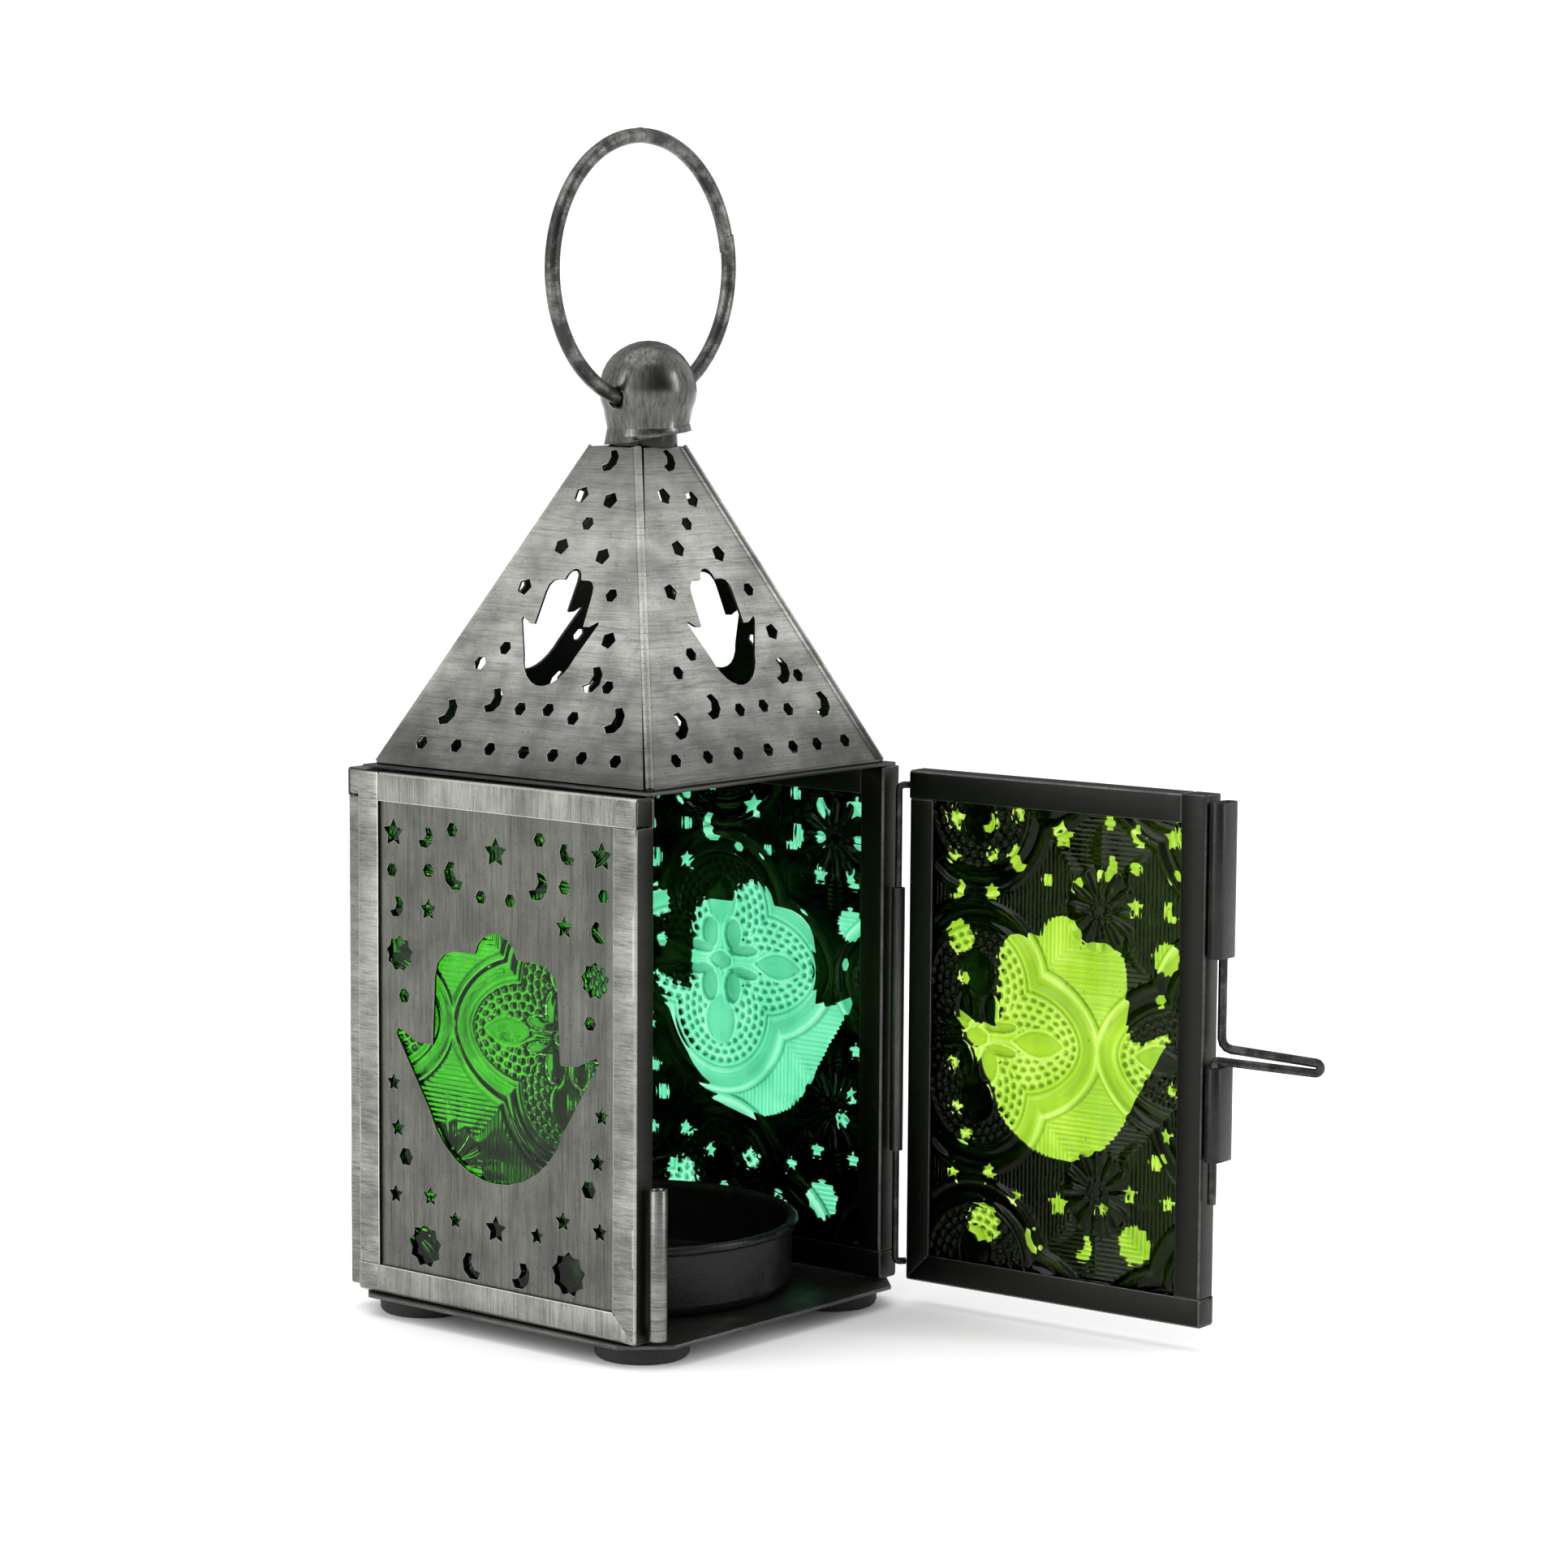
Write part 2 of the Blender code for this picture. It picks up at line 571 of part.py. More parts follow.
def build_keeper(root):
    """A tube on the left panel's front end, which takes the bolt's tip when the door is shut."""
    bore_radius = BOLT_RADIUS + KEEPER_RUNNING_GAP
    bore = disc(0, 0, bore_radius, TUBE_SIDES)
    wall = disc(0, 0, bore_radius + KEEPER_WALL, TUBE_SIDES)
    place = lying(KEEPER_X, HINGE_Y - BOLT_LOWER_DEPTH, PANEL_BOTTOM + KEEPER_BOTTOM)
    add_tube("latch_keeper", wall, bore, KEEPER_TOP - KEEPER_BOTTOM, ANTIQUE_TIN, root, place)


# ---- Roof, finial and carry ring -------------------------------------------------------------------


def build_eaves(root):
    outline = rectangle(EAVES_HALF, EAVES_HALF)
    opening = rectangle(EAVES_HALF - EAVES_FACE, EAVES_HALF - EAVES_FACE)
    place = lying(z=EAVES_BOTTOM)
    add_plate("top_plate", outline, EAVES_THICKNESS, ANTIQUE_TIN, root, place, holes=[opening])


def roof_pattern(base_half, slant):
    """The holes of one roof face, from the middle of its lower edge.

    They are set out for a face 45.4 mm wide below and 43.7 mm up the slope, and fitted to this one.
    """
    pentagons = [(-2.4, 37.2), (2.6, 36.6), (-3.0, 30.2), (4.2, 29.2), (-7.0, 24.6), (9.4, 18.4)]
    dots = [(0.1, 33.4), (7.6, 24.2), (-7.0, 16.4), (-10.4, 14.2), (11.6, 12.4)]
    dots += [(-1.4, 8.7), (3.2, 8.9), (7.6, 8.1)]
    dots += [(x, 3.2) for x in (-15.9, -10.0, -4.3, 1.4, 6.2, 10.9, 16.4)]
    moons = [(0.2, 42.0, 3.2), (8.4, 13.3, 3.8), (-13.6, 7.6, 3.8), (-6.6, 9.6, 3.6), (13.9, 8.4, 3.8)]
    holes = [disc(x * MM, z * MM, 1.15 * MM, 5) for x, z in pentagons]
    holes += [disc(x * MM, z * MM, 0.95 * MM) for x, z in dots]
    holes += [moon(x * MM, z * MM, height * MM, -20) for x, z, height in moons]
    palm = hand(0.6 * MM, 20.1 * MM, 0.376, 0.5)
    return fitted([palm, *holes], base_half / (22.7 * MM), slant / (43.7 * MM))


def build_roof(root):
    """Four flat faces that lean in and meet along the hips, under a top set a little off centre."""
    hip_inset = TIN + SEAT_GAP
    for name, turn in (("front", 0), ("right", 90), ("rear", 180), ("left", -90)):
        outward = Matrix.Rotation(math.radians(turn), 3, "Z") @ Vector((0, -1, 0))
        along = Matrix.Rotation(math.radians(turn), 3, "Z") @ Vector((1, 0, 0))
        run_in = ROOF_BASE_HALF - ROOF_TOP_HALF - ROOF_TOP_SHIFT.dot(outward)
        shift = ROOF_TOP_SHIFT.dot(along)
        slant = math.hypot(run_in, ROOF_HEIGHT)
        low, high = ROOF_BASE_HALF - hip_inset, ROOF_TOP_HALF - hip_inset
        outline = [(-low, 0.0), (low, 0.0), (shift + high, slant), (shift - high, slant)]
        place = (
            Matrix.Rotation(math.radians(turn), 4, "Z")
            @ Matrix.Translation((0, -ROOF_BASE_HALF, ROOF_BOTTOM))
            @ Matrix.Rotation(-math.atan2(run_in, ROOF_HEIGHT), 4, "X")
        )
        add_plate(f"{name}_roof_panel", outline, TIN, ROOF_TIN, root, place, roof_pattern(ROOF_BASE_HALF, slant))


def ring_frame():
    """Where the ring hangs: the middle of the line through its two holes, and the way it leans."""
    turn = Matrix.Rotation(math.radians(RING_TURN_DEGREES), 4, "Z")
    lean = Matrix.Rotation(math.radians(-RING_LEAN_DEGREES), 4, "Y")
    hole_x = BALL_RADIUS - FINIAL_WALL / 2
    drop = math.sqrt(RING_RADIUS**2 - hole_x**2)
    lowest_wire = RING_RADIUS - drop
    middle = FINIAL_SHIFT + Vector((0, 0, BALL_CENTRE - lowest_wire / 2))
    return middle, turn @ lean, drop


def build_finial(root):
    """A hollow ball on a flared neck, open below, with a hole on each side for the ring."""
    neck = BALL_CENTRE - BALL_RISE + NECK_RISE
    skirt = BALL_CENTRE - BALL_RISE + SEAT_GAP
    ball_end = -math.degrees(math.acos(NECK_RADIUS / BALL_RADIUS)) + 8
    outer = [(0.0, BALL_CENTRE + BALL_RADIUS)]
    outer += arc(0, BALL_CENTRE, BALL_RADIUS, 78, ball_end, 9)
    outer += [(NECK_RADIUS, neck), (0.5 * (NECK_RADIUS + SKIRT_RADIUS), 0.4 * neck + 0.6 * skirt)]
    outer += [(SKIRT_RADIUS, skirt)]
    inner_radius = BALL_RADIUS - FINIAL_WALL
    inner = [(SKIRT_RADIUS - FINIAL_WALL, skirt), (NECK_RADIUS - FINIAL_WALL, neck)]
    inner += arc(0, BALL_CENTRE, inner_radius, ball_end, 78, 8)
    inner += [(0.0, BALL_CENTRE + inner_radius)]
    finial = add_turned("finial", outer + inner, ANTIQUE_TIN, root, FINIAL_SHIFT)
    slant_skirt(finial.data, neck)
    middle, turned, _ = ring_frame()
    cut_ring_holes(finial, root, middle, turned)


def slant_skirt(mesh, neck):
    """Lets the skirt's rim down on one side and up on the other, where it was soldered on askew."""
    low_side = math.radians(SKIRT_LOW_SIDE_DEGREES)
    slope = math.tan(math.radians(SKIRT_SLANT_DEGREES))
    for vertex in mesh.vertices:
        if vertex.co.z < neck - SEAT_GAP:
            along = vertex.co.x * math.cos(low_side) + vertex.co.y * math.sin(low_side)
            vertex.co.z += slope * (SKIRT_RADIUS - along)


def cut_ring_holes(finial, root, middle, turned):
    bm = bmesh.new()
    bmesh.ops.create_cone(
        bm,
        cap_ends=True,
        segments=TUBE_SIDES,
        radius1=RING_WIRE_RADIUS + RING_HOLE_CLEARANCE,
        radius2=RING_WIRE_RADIUS + RING_HOLE_CLEARANCE,
        depth=4 * BALL_RADIUS,
        matrix=Matrix.Rotation(math.radians(90), 4, "Y"),
    )
    place = Matrix.Translation(middle) @ turned
    cutter = add_object("ring_hole_cutter", mesh_from("ring_hole_cutter", bm), None, root, place)
    cutter.hide_render = True
    cutter.display_type = "WIRE"
    boolean = finial.modifiers.new("ring_holes", "BOOLEAN")
    boolean.operation = "DIFFERENCE"
    boolean.solver = "EXACT"
    boolean.object = cutter


def build_ring(pivot, drop):
    centre = Vector((0, 0, drop))
    angles = [math.tau * i / RING_STEPS for i in range(RING_STEPS)]
    points = [centre + RING_RADIUS * Vector((math.cos(a), 0, math.sin(a))) for a in angles]
    add_wire("carry_ring", points, RING_WIRE_RADIUS, DARK_WIRE, pivot, cyclic=True)


# ---- Assembly --------------------------------------------------------------------------------------


def centre_on_footprint(root):
    """Moves the whole lantern so that the middle of its footprint is the origin."""
    bpy.context.view_layer.update()
    graph = bpy.context.evaluated_depsgraph_get()
    corners = []
    for obj in bpy.data.objects:
        if obj.type == "EMPTY" or obj.hide_render:
            continue
        evaluated = obj.evaluated_get(graph)
        mesh = evaluated.to_mesh()
        corners += [evaluated.matrix_world @ vertex.co for vertex in mesh.vertices]
        evaluated.to_mesh_clear()
    for axis in (0, 1):
        values = [corner[axis] for corner in corners]
        root.location[axis] = -(min(values) + max(values)) / 2


def main():
    clear_scene()
    bpy.context.scene.unit_settings.scale_length = 1.0
    root = add_empty("lantern", None)
    hinge = add_empty("door_hinge", root, (HINGE_X, HINGE_Y, 0.0), DOOR_OPEN_DEGREES)
    slide = add_empty("latch_slide", hinge)
    build_feet(root)
    build_base(root)
    build_cup(root)
    build_walls(root)
    build_door(hinge)
    build_hinge(root, hinge)
    build_sleeves(hinge)
    build_bolt(slide)
    build_keeper(root)
    build_eaves(root)
    build_roof(root)
    build_finial(root)
    middle, turned, drop = ring_frame()
    pivot = add_empty("ring_pivot", root)
    pivot.matrix_local = Matrix.Translation(middle) @ turned
    build_ring(pivot, drop)
    centre_on_footprint(root)


main()
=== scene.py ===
"""Looks of a small glazed lantern of pierced tin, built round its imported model.

Each sub-assembly is a class that models its pieces and dresses them, and every piece rides on the
body it belongs to. Sizes are in metres, +Z is up, and the lantern stands on z = 0.
"""

from __future__ import annotations

import logging
import math
from collections.abc import Callable, Iterable, Iterator
from contextlib import contextmanager
from dataclasses import dataclass
from enum import Enum

import bmesh
import bpy
import numpy as np
from mathutils import Matrix, Vector, noise

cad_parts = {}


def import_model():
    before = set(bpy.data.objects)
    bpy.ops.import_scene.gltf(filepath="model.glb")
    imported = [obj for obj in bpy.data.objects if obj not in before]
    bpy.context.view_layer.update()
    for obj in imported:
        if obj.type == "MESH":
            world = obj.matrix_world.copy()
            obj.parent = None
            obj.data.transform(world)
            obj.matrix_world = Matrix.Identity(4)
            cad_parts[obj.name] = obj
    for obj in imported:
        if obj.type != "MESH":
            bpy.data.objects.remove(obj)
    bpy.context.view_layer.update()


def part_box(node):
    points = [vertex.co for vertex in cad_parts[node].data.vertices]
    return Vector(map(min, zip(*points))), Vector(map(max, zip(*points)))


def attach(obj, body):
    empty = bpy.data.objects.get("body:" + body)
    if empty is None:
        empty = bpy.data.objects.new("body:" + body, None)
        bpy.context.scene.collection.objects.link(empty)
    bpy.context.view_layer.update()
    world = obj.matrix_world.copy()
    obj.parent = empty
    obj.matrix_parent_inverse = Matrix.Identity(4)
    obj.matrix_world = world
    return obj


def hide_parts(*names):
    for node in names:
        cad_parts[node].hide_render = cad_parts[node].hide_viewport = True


LOG = logging.getLogger("lantern")
MM = 0.001
UP = Vector((0, 0, 1))

Colour = tuple[float, float, float]
Point = tuple[float, float, float]
Value = bpy.types.NodeSocket | float


class Body(Enum):
    """The bodies that move against each other."""

    LANTERN = "lantern_body"
    DOOR = "door"
    LATCH = "latch"
    RING = "ring"


class Slot(Enum):
    """The record's material slots."""

    FRAME = "antique_tin"
    SHEET = "pierced_tin"
    ROOF = "roof_tin"
    DARK = "dark_tin"
    WIRE = "dark_wire"
    PAD = "pad_rubber"
    GREEN = "green_glass"
    TEAL = "teal_glass"
    LIME = "lime_glass"


class Grain(Enum):
    """How far the brushed lines are drawn out along each axis: a low number is a long line."""

    UPRIGHT = (1.0, 1.0, 0.02)
    LEVEL = (0.03, 0.03, 1.0)
    ACROSS_RAIL = (0.05, 0.05, 1.0)


class RailEnd(Enum):
    """How a rail's end meets its neighbour at the corner of a frame."""

    MITRED = "mitred"
    FULL = "full"
    BUTTED = "butted"


# ---- Modelling by operators ------------------------------------------------------------------------


def activate(obj: bpy.types.Object) -> None:
    """Makes this object the only selected one.

    Args:
        obj: The object to work on.
    """
    bpy.ops.object.select_all(action="DESELECT")
    obj.select_set(True)
    bpy.context.view_layer.objects.active = obj


@contextmanager
def editing(obj: bpy.types.Object, everything: bool = False) -> Iterator[bmesh.types.BMesh]:
    """Edit mode on one object, with nothing or everything selected.

    Args:
        obj: The mesh object to edit.
        everything: Whether the whole mesh starts selected.

    Returns:
        The mesh as the operators see it.
    """
    activate(obj)
    bpy.ops.object.mode_set(mode="EDIT")
    bpy.ops.mesh.select_all(action="SELECT" if everything else "DESELECT")
    try:
        yield bmesh.from_edit_mesh(obj.data)
    finally:
        bpy.ops.object.mode_set(mode="OBJECT")


def pick_edges(mesh: bmesh.types.BMesh, test: Callable[[bmesh.types.BMEdge], bool]) -> None:
    """Selects the edges that pass the test, and nothing else.

    Args:
        mesh: The mesh in edit mode.
        test: Says whether an edge is wanted.
    """
    bpy.ops.mesh.select_mode(type="EDGE")
    bpy.ops.mesh.select_all(action="DESELECT")
    for edge in mesh.edges:
        edge.select_set(test(edge))


def ease(obj: bpy.types.Object, width: float, segments: int = 2, sharp_degrees: float = 30.0) -> None:
    """Rounds a piece's sharp edges.

    Args:
        obj: The mesh object.
        width: How far each edge is cut back.
        segments: How many faces go round it.
        sharp_degrees: Edges that turn by more than this are sharp.
    """
    activate(obj)
    bevel = obj.modifiers.new("eased_edges", "BEVEL")
    bevel.width, bevel.segments = width, segments
    bevel.limit_method, bevel.angle_limit = "ANGLE", math.radians(sharp_degrees)
    bpy.ops.object.modifier_apply(modifier=bevel.name)


def settle(obj: bpy.types.Object, name: str, smooth_degrees: float = 35.0) -> bpy.types.Object:
    """Names the object, puts its place into its mesh and shades its round parts smooth.

    Args:
        obj: The finished mesh object.
        name: The piece's name.
        smooth_degrees: Edges sharper than this stay sharp.

    Returns:
        The same object.
    """
    obj.name = name
    obj.data.name = name
    activate(obj)
    bpy.ops.object.transform_apply(location=True, rotation=True, scale=True)
    with editing(obj, everything=True):
        bpy.ops.mesh.remove_doubles(threshold=0.002 * MM)
        bpy.ops.mesh.normals_make_consistent(inside=False)
    activate(obj)
    bpy.ops.object.shade_smooth_by_angle(angle=math.radians(smooth_degrees))
    return obj


def copy_of(node: str, name: str) -> bpy.types.Object:
    """A merged copy of a CAD solid, with its flat faces whole again.

    Args:
        node: The CAD node's name.
        name: The new piece's name.

    Returns:
        The new object, at the origin.
    """
    mesh = bpy.data.objects[node].data.copy()
    mesh.materials.clear()
    obj = bpy.data.objects.new(name, mesh)
    bpy.context.scene.collection.objects.link(obj)
    activate(obj)
    bpy.ops.mesh.customdata_custom_splitnormals_clear()
    with editing(obj, everything=True):
        bpy.ops.mesh.remove_doubles(threshold=0.001 * MM)
        bpy.ops.mesh.dissolve_limited(angle_limit=math.radians(1.0))
        bpy.ops.mesh.normals_make_consistent(inside=False)
    return obj


def plan_middle(node: str) -> Vector:
    """The middle of a CAD node's box, brought down to the ground.

    Args:
        node: The CAD node's name.

    Returns:
        The middle, with z = 0.
    """
    low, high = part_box(node)
    return Vector(((low.x + high.x) / 2, (low.y + high.y) / 2, 0))


def wire(
    name: str, points: Iterable[Vector], radius: float, rounding: int = 3, closed: bool = False
) -> bpy.types.Object:
    """A settled wire along the points, with its ends capped or joined.

    Args:
        name: The piece's name.
        points: Its centreline, the first point not repeated.
        radius: Its radius.
        rounding: The curve's bevel resolution.
        closed: Whether the last point joins the first.

    Returns:
        The mesh object.
    """
    curve = bpy.data.curves.new(name, "CURVE")
    curve.dimensions = "3D"
    curve.bevel_depth = radius
    curve.bevel_resolution = rounding
    curve.use_fill_caps = True
    places = list(points)
    spline = curve.splines.new("POLY")
    spline.points.add(len(places) - 1)
    for point, place in zip(spline.points, places):
        point.co = (*place, 1.0)
    spline.use_cyclic_u = closed
    obj = bpy.data.objects.new(name, curve)
    bpy.context.scene.collection.objects.link(obj)
    activate(obj)
    bpy.ops.object.convert(target="MESH")
    return settle(bpy.context.object, name)


def paint(obj: bpy.types.Object, name: str, values: Iterable[float], domain: str = "FACE") -> None:
    """Stores one number for each face or point, which a material can read.

    Args:
        obj: The mesh object.
        name: The attribute's name.
        values: The numbers, in the order of the faces or points.
        domain: FACE or POINT.
    """
    attribute = obj.data.attributes.new(name, "FLOAT", domain)
    attribute.data.foreach_set("value", np.fromiter(values, np.float32, len(attribute.data)))


def polish_all(obj: bpy.types.Object, value: float = 1.0) -> None:
    """Gives every face the same polish.

    Args:
        obj: The mesh object.
        value: Its polish.
    """
    paint(obj, "polish", [value] * len(obj.data.polygons))


def place_piece(
    obj: bpy.types.Object,
    material: bpy.types.Material,
    body: Body,
    stands_for: Iterable[str] = (),
) -> bpy.types.Object:
    """Dresses a finished piece and hangs it on its body.

    Args:
        obj: The piece.
        material: Its finish.
        body: The body it rides on.
        stands_for: The CAD nodes that it replaces.

    Returns:
        The same object.
    """
    obj.data.materials.clear()
    obj.data.materials.append(material)
    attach(obj, body.value)
    nodes = list(stands_for)
    if nodes:
        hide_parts(*nodes)
    LOG.info("%s rides on %s, %d faces", obj.name, body.value, len(obj.data.polygons))
    return obj


# ---- Finishes --------------------------------------------------------------------------------------


class Nodes:
    """A node tree, with short ways to add and join nodes."""

    def __init__(self, tree: bpy.types.NodeTree) -> None:
        """Takes up a tree.

        Args:
            tree: The tree to add to.
        """
        self.tree = tree

    def add(
        self, kind: str, inputs: dict[str | int, object] | None = None, **settings: object
    ) -> bpy.types.Node:
        """Adds a node.

        Args:
            kind: The node's type.
            inputs: Values or output sockets for its inputs, by name or number.
            **settings: The node's own properties.

        Returns:
            The node.
        """
        node = self.tree.nodes.new(kind)
        for key, value in settings.items():
            setattr(node, key, value)
        for key, value in (inputs or {}).items():
            self.feed(node.inputs[key], value)
        return node

    def feed(self, socket: bpy.types.NodeSocket, value: object) -> None:
        """Links an output to a socket, or sets the socket's own value.

        Args:
            socket: The input.
            value: An output socket, a number or a colour.
        """
        if isinstance(value, bpy.types.NodeSocket):
            self.tree.links.new(value, socket)
        elif socket.type == "RGBA":
            socket.default_value = (*value, 1.0)
        else:
            socket.default_value = value

    def spread(
        self, value: Value, low: float, high: float, to_low: float = 0.0, to_high: float = 1.0,
        curve: str = "LINEAR",
    ) -> Value:
        """Maps a range of values to another, holding the ends.

        Args:
            value: The value to map.
            low: The value that becomes to_low.
            high: The value that becomes to_high.
            to_low: The first end of the new range.
            to_high: The other end of the new range.
            curve: How it goes from one end to the other.

        Returns:
            The mapped value.
        """
        ends = {"From Min": low, "From Max": high, "To Min": to_low, "To Max": to_high}
        inputs = {"Value": value, **ends}
        return self.add("ShaderNodeMapRange", inputs, interpolation_type=curve, clamp=True).outputs[0]

    def maths(self, operation: str, first: Value, second: Value) -> Value:
        """A sum on two values.

        Args:
            operation: What is done with them.
            first: A socket or a number.
            second: A socket or a number.

        Returns:
            The result.
        """
        return self.add("ShaderNodeMath", {0: first, 1: second}, operation=operation).outputs[0]


class Shading(Nodes):
    """A material's node tree round one Principled shader."""

    def __init__(self, name: str) -> None:
        """Starts a material.

        Args:
            name: The material's name.
        """
        self.material = bpy.data.materials.new(name)
        self.material.use_nodes = True
        super().__init__(self.material.node_tree)
        self.shader = self.tree.nodes["Principled BSDF"]

    def set(self, **values: object) -> None:
        """Sets inputs of the Principled shader, an underscore standing for a space.

        Args:
            **values: Values or output sockets by input name.
        """
        for key, value in values.items():
            self.feed(self.shader.inputs[key.replace("_", " ")], value)

    def coordinates(self, scale: Point = (1.0, 1.0, 1.0)) -> Value:
        """The piece's own coordinates, stretched.

        Args:
            scale: How often a pattern repeats along each axis.

        Returns:
            The stretched coordinates.
        """
        source = self.add("ShaderNodeTexCoord").outputs["Object"]
        return self.add("ShaderNodeMapping", {"Vector": source, "Scale": scale}).outputs[0]

    def noise(self, where: Value, scale: float, detail: float, rough: float) -> Value:
        """A noise pattern.

        Args:
            where: The coordinates it is laid on.
            scale: How fine it is.
            detail: How many octaves it has.
            rough: How strong the finer octaves are.

        Returns:
            The noise, about 0.5 on average.
        """
        inputs = {"Vector": where, "Scale": scale, "Detail": detail, "Roughness": rough}
        return self.add("ShaderNodeTexNoise", inputs).outputs["Fac"]

    def mix(self, share: Value, first: Value | Colour, second: Value | Colour) -> Value:
        """A mix of two colours.

        Args:
            share: How much of the second there is.
            first: A socket or a colour.
            second: A socket or a colour.

        Returns:
            The mixed colour.
        """
        inputs = {0: share, 6: first, 7: second}
        return self.add("ShaderNodeMix", inputs, data_type="RGBA").outputs[2]

    def attribute(self, name: str) -> Value:
        """A number stored on the piece.

        Args:
            name: The attribute's name.

        Returns:
            Its value.
        """
        return self.add("ShaderNodeAttribute", attribute_name=name).outputs["Fac"]

    def bump(self, height: Value, depth: float) -> Value:
        """A bumped normal.

        Args:
            height: The height.
            depth: How far a height of one stands out, in metres.

        Returns:
            The normal.
        """
        inputs = {"Height": height, "Distance": depth, "Strength": 1.0}
        return self.add("ShaderNodeBump", inputs).outputs["Normal"]


@dataclass(frozen=True)
class AntiqueTin:
    """Brushed grey tin over a black patina, with painted shade at its foot and head where it is asked for.

    The attribute "polish" is 0 on blackened faces, 1 on brushed ones and 2 on bright burrs, partly painted
    highlight.
    """

    name: str
    grain: Grain = Grain.UPRIGHT
    tone: Colour = (0.08, 0.08, 0.0745)
    light: Colour = (0.25, 0.25, 0.2325)
    roughness: float = 0.4
    grain_scale: float = 9000.0
    painted_shade_heights: tuple[float, float] | None = None
    # Rubbed bare metal of burrs and folds, partly a painted highlight.
    bright: Colour = (0.74, 0.74, 0.69)
    black: Colour = (0.02, 0.02, 0.019)
    smudge: Colour = (0.05, 0.05, 0.047)
    pit: Colour = (0.025, 0.025, 0.0235)
    # Colours of the painted shade at the foot and at the head.
    painted_foot_shade: Colour = (0.035, 0.035, 0.033)
    painted_head_shade: Colour = (0.06, 0.06, 0.056)
    foot_fade: float = 16 * MM
    head_fade: float = 12 * MM
    wander: float = 6 * MM
    relief: float = 0.03 * MM

    def material(self) -> bpy.types.Material:
        """Builds the finish.

        Returns:
            The material.
        """
        look = Shading(self.name)
        plain, drawn_out = look.coordinates(), look.coordinates(self.grain.value)
        lines = look.noise(drawn_out, self.grain_scale, 4.0, 0.65)
        bands = look.noise(drawn_out, 0.12 * self.grain_scale, 3.0, 0.6)
        blotch = look.noise(plain, 130.0, 4.0, 0.6)
        speck = look.noise(plain, 2600.0, 2.0, 0.6)
        layers = [
            (look.spread(lines, 0.34, 0.68), self.light),
            (look.spread(bands, 0.40, 0.62, 0.0, 0.55), self.light),
            (look.spread(blotch, 0.36, 0.62, 0.5, 0.0), self.smudge),
            (look.spread(speck, 0.60, 0.74, 0.0, 0.45), self.pit),
        ]
        # Painted shade: the piece is darkened towards its foot and towards its head.
        if self.painted_shade_heights:
            foot, head = self.painted_shade_heights
            height = look.add("ShaderNodeSeparateXYZ", {0: plain}).outputs["Z"]
            uneven = look.maths("ADD", height, look.maths("MULTIPLY", blotch, self.wander))
            layers += [
                (look.spread(uneven, foot, foot + self.foot_fade, 0.82, 0.0), self.painted_foot_shade),
                (look.spread(height, head - self.head_fade, head, 0.0, 0.7), self.painted_head_shade),
            ]
        brushed = self.tone
        for share, colour in layers:
            brushed = look.mix(share, brushed, colour)
        polish = look.attribute("polish")
        colour = look.mix(look.spread(polish, 0.05, 0.95), self.black, brushed)
        # Burrs and folds: rubbed metal, their brightness partly a painted highlight.
        worn = look.spread(speck, 0.3, 0.6, 0.55, 1.0)
        colour = look.mix(look.maths("MULTIPLY", look.spread(polish, 1.05, 1.9), worn), colour, self.bright)
        shine = look.spread(lines, 0.3, 0.7, self.roughness + 0.07, self.roughness - 0.07)
        look.set(Base_Color=colour, Metallic=1.0, Roughness=shine)
        height = look.maths("ADD", look.maths("MULTIPLY", lines, 0.5), look.maths("MULTIPLY", blotch, 2.0))
        look.set(Normal=look.bump(height, self.relief))
        return look.material


@dataclass(frozen=True)
class BlackedTin:
    """Tin blackened all over, a little glossy, with dust and rubbed spots."""

    name: str
    tone: Colour = (0.006, 0.006, 0.006)
    rubbed: Colour = (0.03, 0.03, 0.028)
    roughness: float = 0.24
    dull_roughness: float = 0.46
    relief: float = 0.12 * MM

    def material(self) -> bpy.types.Material:
        """Builds the finish.

        Returns:
            The material.
        """
        look = Shading(self.name)
        plain = look.coordinates()
        cloud = look.noise(plain, 220.0, 5.0, 0.62)
        speck = look.noise(plain, 3500.0, 2.0, 0.5)
        colour = look.mix(look.spread(cloud, 0.52, 0.78, 0.0, 0.7), self.tone, self.rubbed)
        colour = look.mix(look.spread(speck, 0.66, 0.8, 0.0, 0.4), colour, self.rubbed)
        shine = look.spread(cloud, 0.3, 0.7, self.roughness, self.dull_roughness)
        height = look.maths("ADD", cloud, look.maths("MULTIPLY", speck, 0.2))
        look.set(Base_Color=colour, Roughness=shine, Specular_IOR_Level=0.3)
        look.set(Normal=look.bump(height, self.relief))
        return look.material


@dataclass(frozen=True)
class DarkWire:
    """Blackened iron wire, rubbed bright in patches."""

    name: str
    tone: Colour = (0.045, 0.045, 0.043)
    rubbed: Colour = (0.30, 0.30, 0.28)
    wear: float = 0.6
    pit: Colour = (0.02, 0.02, 0.019)
    relief: float = 0.06 * MM

    def material(self) -> bpy.types.Material:
        """Builds the finish.

        Returns:
            The material.
        """
        look = Shading(self.name)
        plain = look.coordinates()
        cloud = look.noise(plain, 320.0, 5.0, 0.65)
        pits = look.noise(plain, 4200.0, 3.0, 0.6)
        colour = look.mix(look.spread(cloud, 0.45, 0.72, 0.0, self.wear), self.tone, self.rubbed)
        colour = look.mix(look.spread(pits, 0.58, 0.72, 0.0, 0.7), colour, self.pit)
        look.set(Base_Color=colour, Metallic=1.0, Roughness=look.spread(cloud, 0.3, 0.7, 0.42, 0.26))
        look.set(Normal=look.bump(pits, self.relief))
        return look.material


